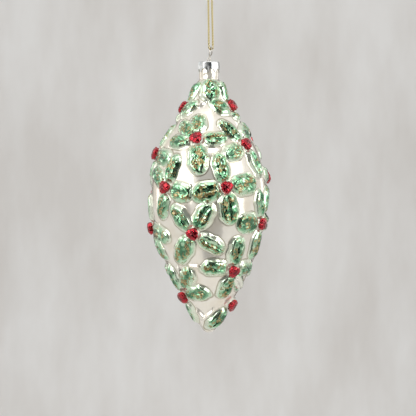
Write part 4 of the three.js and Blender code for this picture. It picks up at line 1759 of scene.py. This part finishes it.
@dataclass
class Studio:
    """The room: a limewashed wall that sweeps into the floor, soft panels, black flags and the camera."""

    # Millimetres of the object to a pixel, the width of the picture, and where the axis stands in it.
    scale: float = 0.5155
    pixels: int = 416
    axis_pixel: float = 209.0
    top_height: float = -30.1
    distance: float = 1500.0
    floor: float = -1000.0
    wall: float = 2300.0
    bend: float = 700.0
    front: float = -6500.0
    half_width: float = 6500.0
    wall_top: float = 3000.0
    bend_rows: int = 13
    sensor: float = 36.0
    sight: float = 20000.0
    strength: float = 0.82
    pale: str = "FBF9F5"
    centre: float = -137.0
    # A flag is its name, its direction from the object's middle, its distance, and half the angles across
    # and up that it covers, in degrees.
    flags: tuple[tuple[str, tuple[float, float, float], float, float, float], ...] = (
        ("tall_flag", (0.03, -1.0, 0.1), 2000.0, 23.0, 33.0),
        ("low_flag", (0.1, -0.84, -0.54), 1100.0, 17.0, 10.0),
        ("high_flag", (0.5, -0.62, 0.6), 1700.0, 10.0, 12.0),
        ("side_flag", (-0.66, -0.7, -0.28), 1700.0, 8.0, 10.0),
        ("left_rear_flag", (-0.42, 0.906, 0.0), 1900.0, 6.0, 30.0),
        ("right_rear_flag", (0.42, 0.906, 0.0), 1900.0, 6.0, 30.0),
    )
    finish: LimewashedWall = LimewashedWall()
    cloth: BlackCloth = BlackCloth()
    # A panel is its name, place, width, height and power in watts.
    lamps: tuple[tuple[Any, ...], ...] = (
        ("window_panel", (-1250, -850, 450), 1000, 1300, 7.0),
        ("far_panel", (1250, -650, 200), 800, 1200, 5.6),
        ("sky_panel", (-100, -250, 1450), 900, 900, 2.6),
        ("left_rear_panel", (-1300, 750, 250), 300, 1100, 1.6),
        ("right_rear_panel", (1130, 1000, 250), 300, 1100, 1.6),
        ("left_strip", (-900, -1250, 150), 160, 900, 3.5),
        ("right_strip", (900, -1150, 250), 140, 800, 2.6),
        ("top_strip", (0, -1000, 1150), 700, 140, 2.5),
    )

    def build(self) -> None:
        """Sets up the view, the wall, the lamps, the flags and the light of the room."""
        bpy.context.scene.view_settings.view_transform = "Standard"
        self.set_camera()
        self.backdrop()
        self.panels()
        self.hang_flags()
        self.room()

    def set_camera(self) -> None:
        """Sets the camera level and far off, with a view as wide as the picture."""
        scene = bpy.context.scene
        view = bpy.data.cameras.new("camera")
        view.sensor_width = self.sensor
        width = self.pixels * self.scale
        view.lens = view.sensor_width * self.distance / width
        view.clip_end = self.sight * MM
        camera = bpy.data.objects.new("camera", view)
        across = (self.pixels / 2 - self.axis_pixel) * self.scale
        camera.location = (across * MM, -self.distance * MM, (self.top_height - width / 2) * MM)
        camera.rotation_euler = (math.pi / 2, 0.0, 0.0)
        scene.collection.objects.link(camera)
        scene.camera = camera

    def backdrop(self) -> None:
        """The wall and the floor, joined by a round sweep."""
        side = [(self.front, self.floor)]
        for angle in np.linspace(0.0, math.pi / 2, self.bend_rows):
            back, up = self.bend * math.sin(angle), self.bend * (1 - math.cos(angle))
            side.append((self.wall - self.bend + back, self.floor + up))
        side.append((self.wall, self.wall_top))
        points = [(x, y, z) for y, z in side for x in (-self.half_width, self.half_width)]
        faces = [(2 * k, 2 * k + 1, 2 * k + 3, 2 * k + 2) for k in range(len(side) - 1)]
        sweep_wall = add_piece("limewashed_wall", Shell(np.array(points), faces), self.finish.material())

    def panels(self) -> None:
        """The soft panels of light."""
        for name, place, width, height, power in self.lamps:
            lamp = bpy.data.lights.new(name, "AREA")
            lamp.shape = "RECTANGLE"
            lamp.size = width * MM
            lamp.size_y = height * MM
            lamp.energy = power
            holder = bpy.data.objects.new(name, lamp)
            spot = np.array(place) * MM
            holder.location = spot
            aim = np.array([0.0, 0.0, self.centre * MM]) - spot
            flat = math.hypot(aim[0], aim[1])
            heading = math.atan2(aim[1], aim[0]) - math.pi / 2
            holder.rotation_euler = (math.atan2(flat, -aim[2]), 0.0, heading)
            bpy.context.scene.collection.objects.link(holder)

    def hang_flags(self) -> None:
        """The black flags that the polished surfaces show as dark, out of the camera's sight."""
        cloth = self.cloth.material()
        centre = np.array([0.0, 0.0, self.centre])
        for name, towards, distance, half_width, half_height in self.flags:
            way = np.array(towards) / np.linalg.norm(towards)
            across = np.cross(way, (0.0, 0.0, 1.0))
            across *= distance * math.tan(math.radians(half_width)) / np.linalg.norm(across)
            up = np.cross(across, way)
            up *= distance * math.tan(math.radians(half_height)) / np.linalg.norm(up)
            middle = centre + distance * way
            left, right = middle - across, middle + across
            corners = [left - up, right - up, right + up, left + up]
            flag = add_piece(name, Shell(np.array(corners), [(0, 1, 2, 3)]), cloth)
            flag.visible_camera = False

    def room(self) -> None:
        """The light of the room itself, pale all round."""
        world = bpy.data.worlds.new("room")
        bpy.context.scene.world = world
        world.use_nodes = True
        tree = world.node_tree
        tree.nodes.clear()
        light = add_node(tree, "Background", {"Color": linear(self.pale), "Strength": self.strength})
        add_node(tree, "OutputWorld", {"Surface": light})


def main() -> None:
    """Builds the room and then each sub-assembly of the ornament."""
    logging.basicConfig(level=logging.INFO, format="%(message)s")
    Studio().build()
    CordLoop().build()
    WireHanger().build()
    PressedCap().build()
    outline = BulbOutline()
    sprigs = SprigPlan().sprigs()
    relief = Relief(outline, sprigs)
    BlownShell(outline, relief).build()
    LacqueredLeaves(outline, relief).build()
    EnamelledBerries(outline, sprigs).build()


if __name__ == "__main__":
    main()
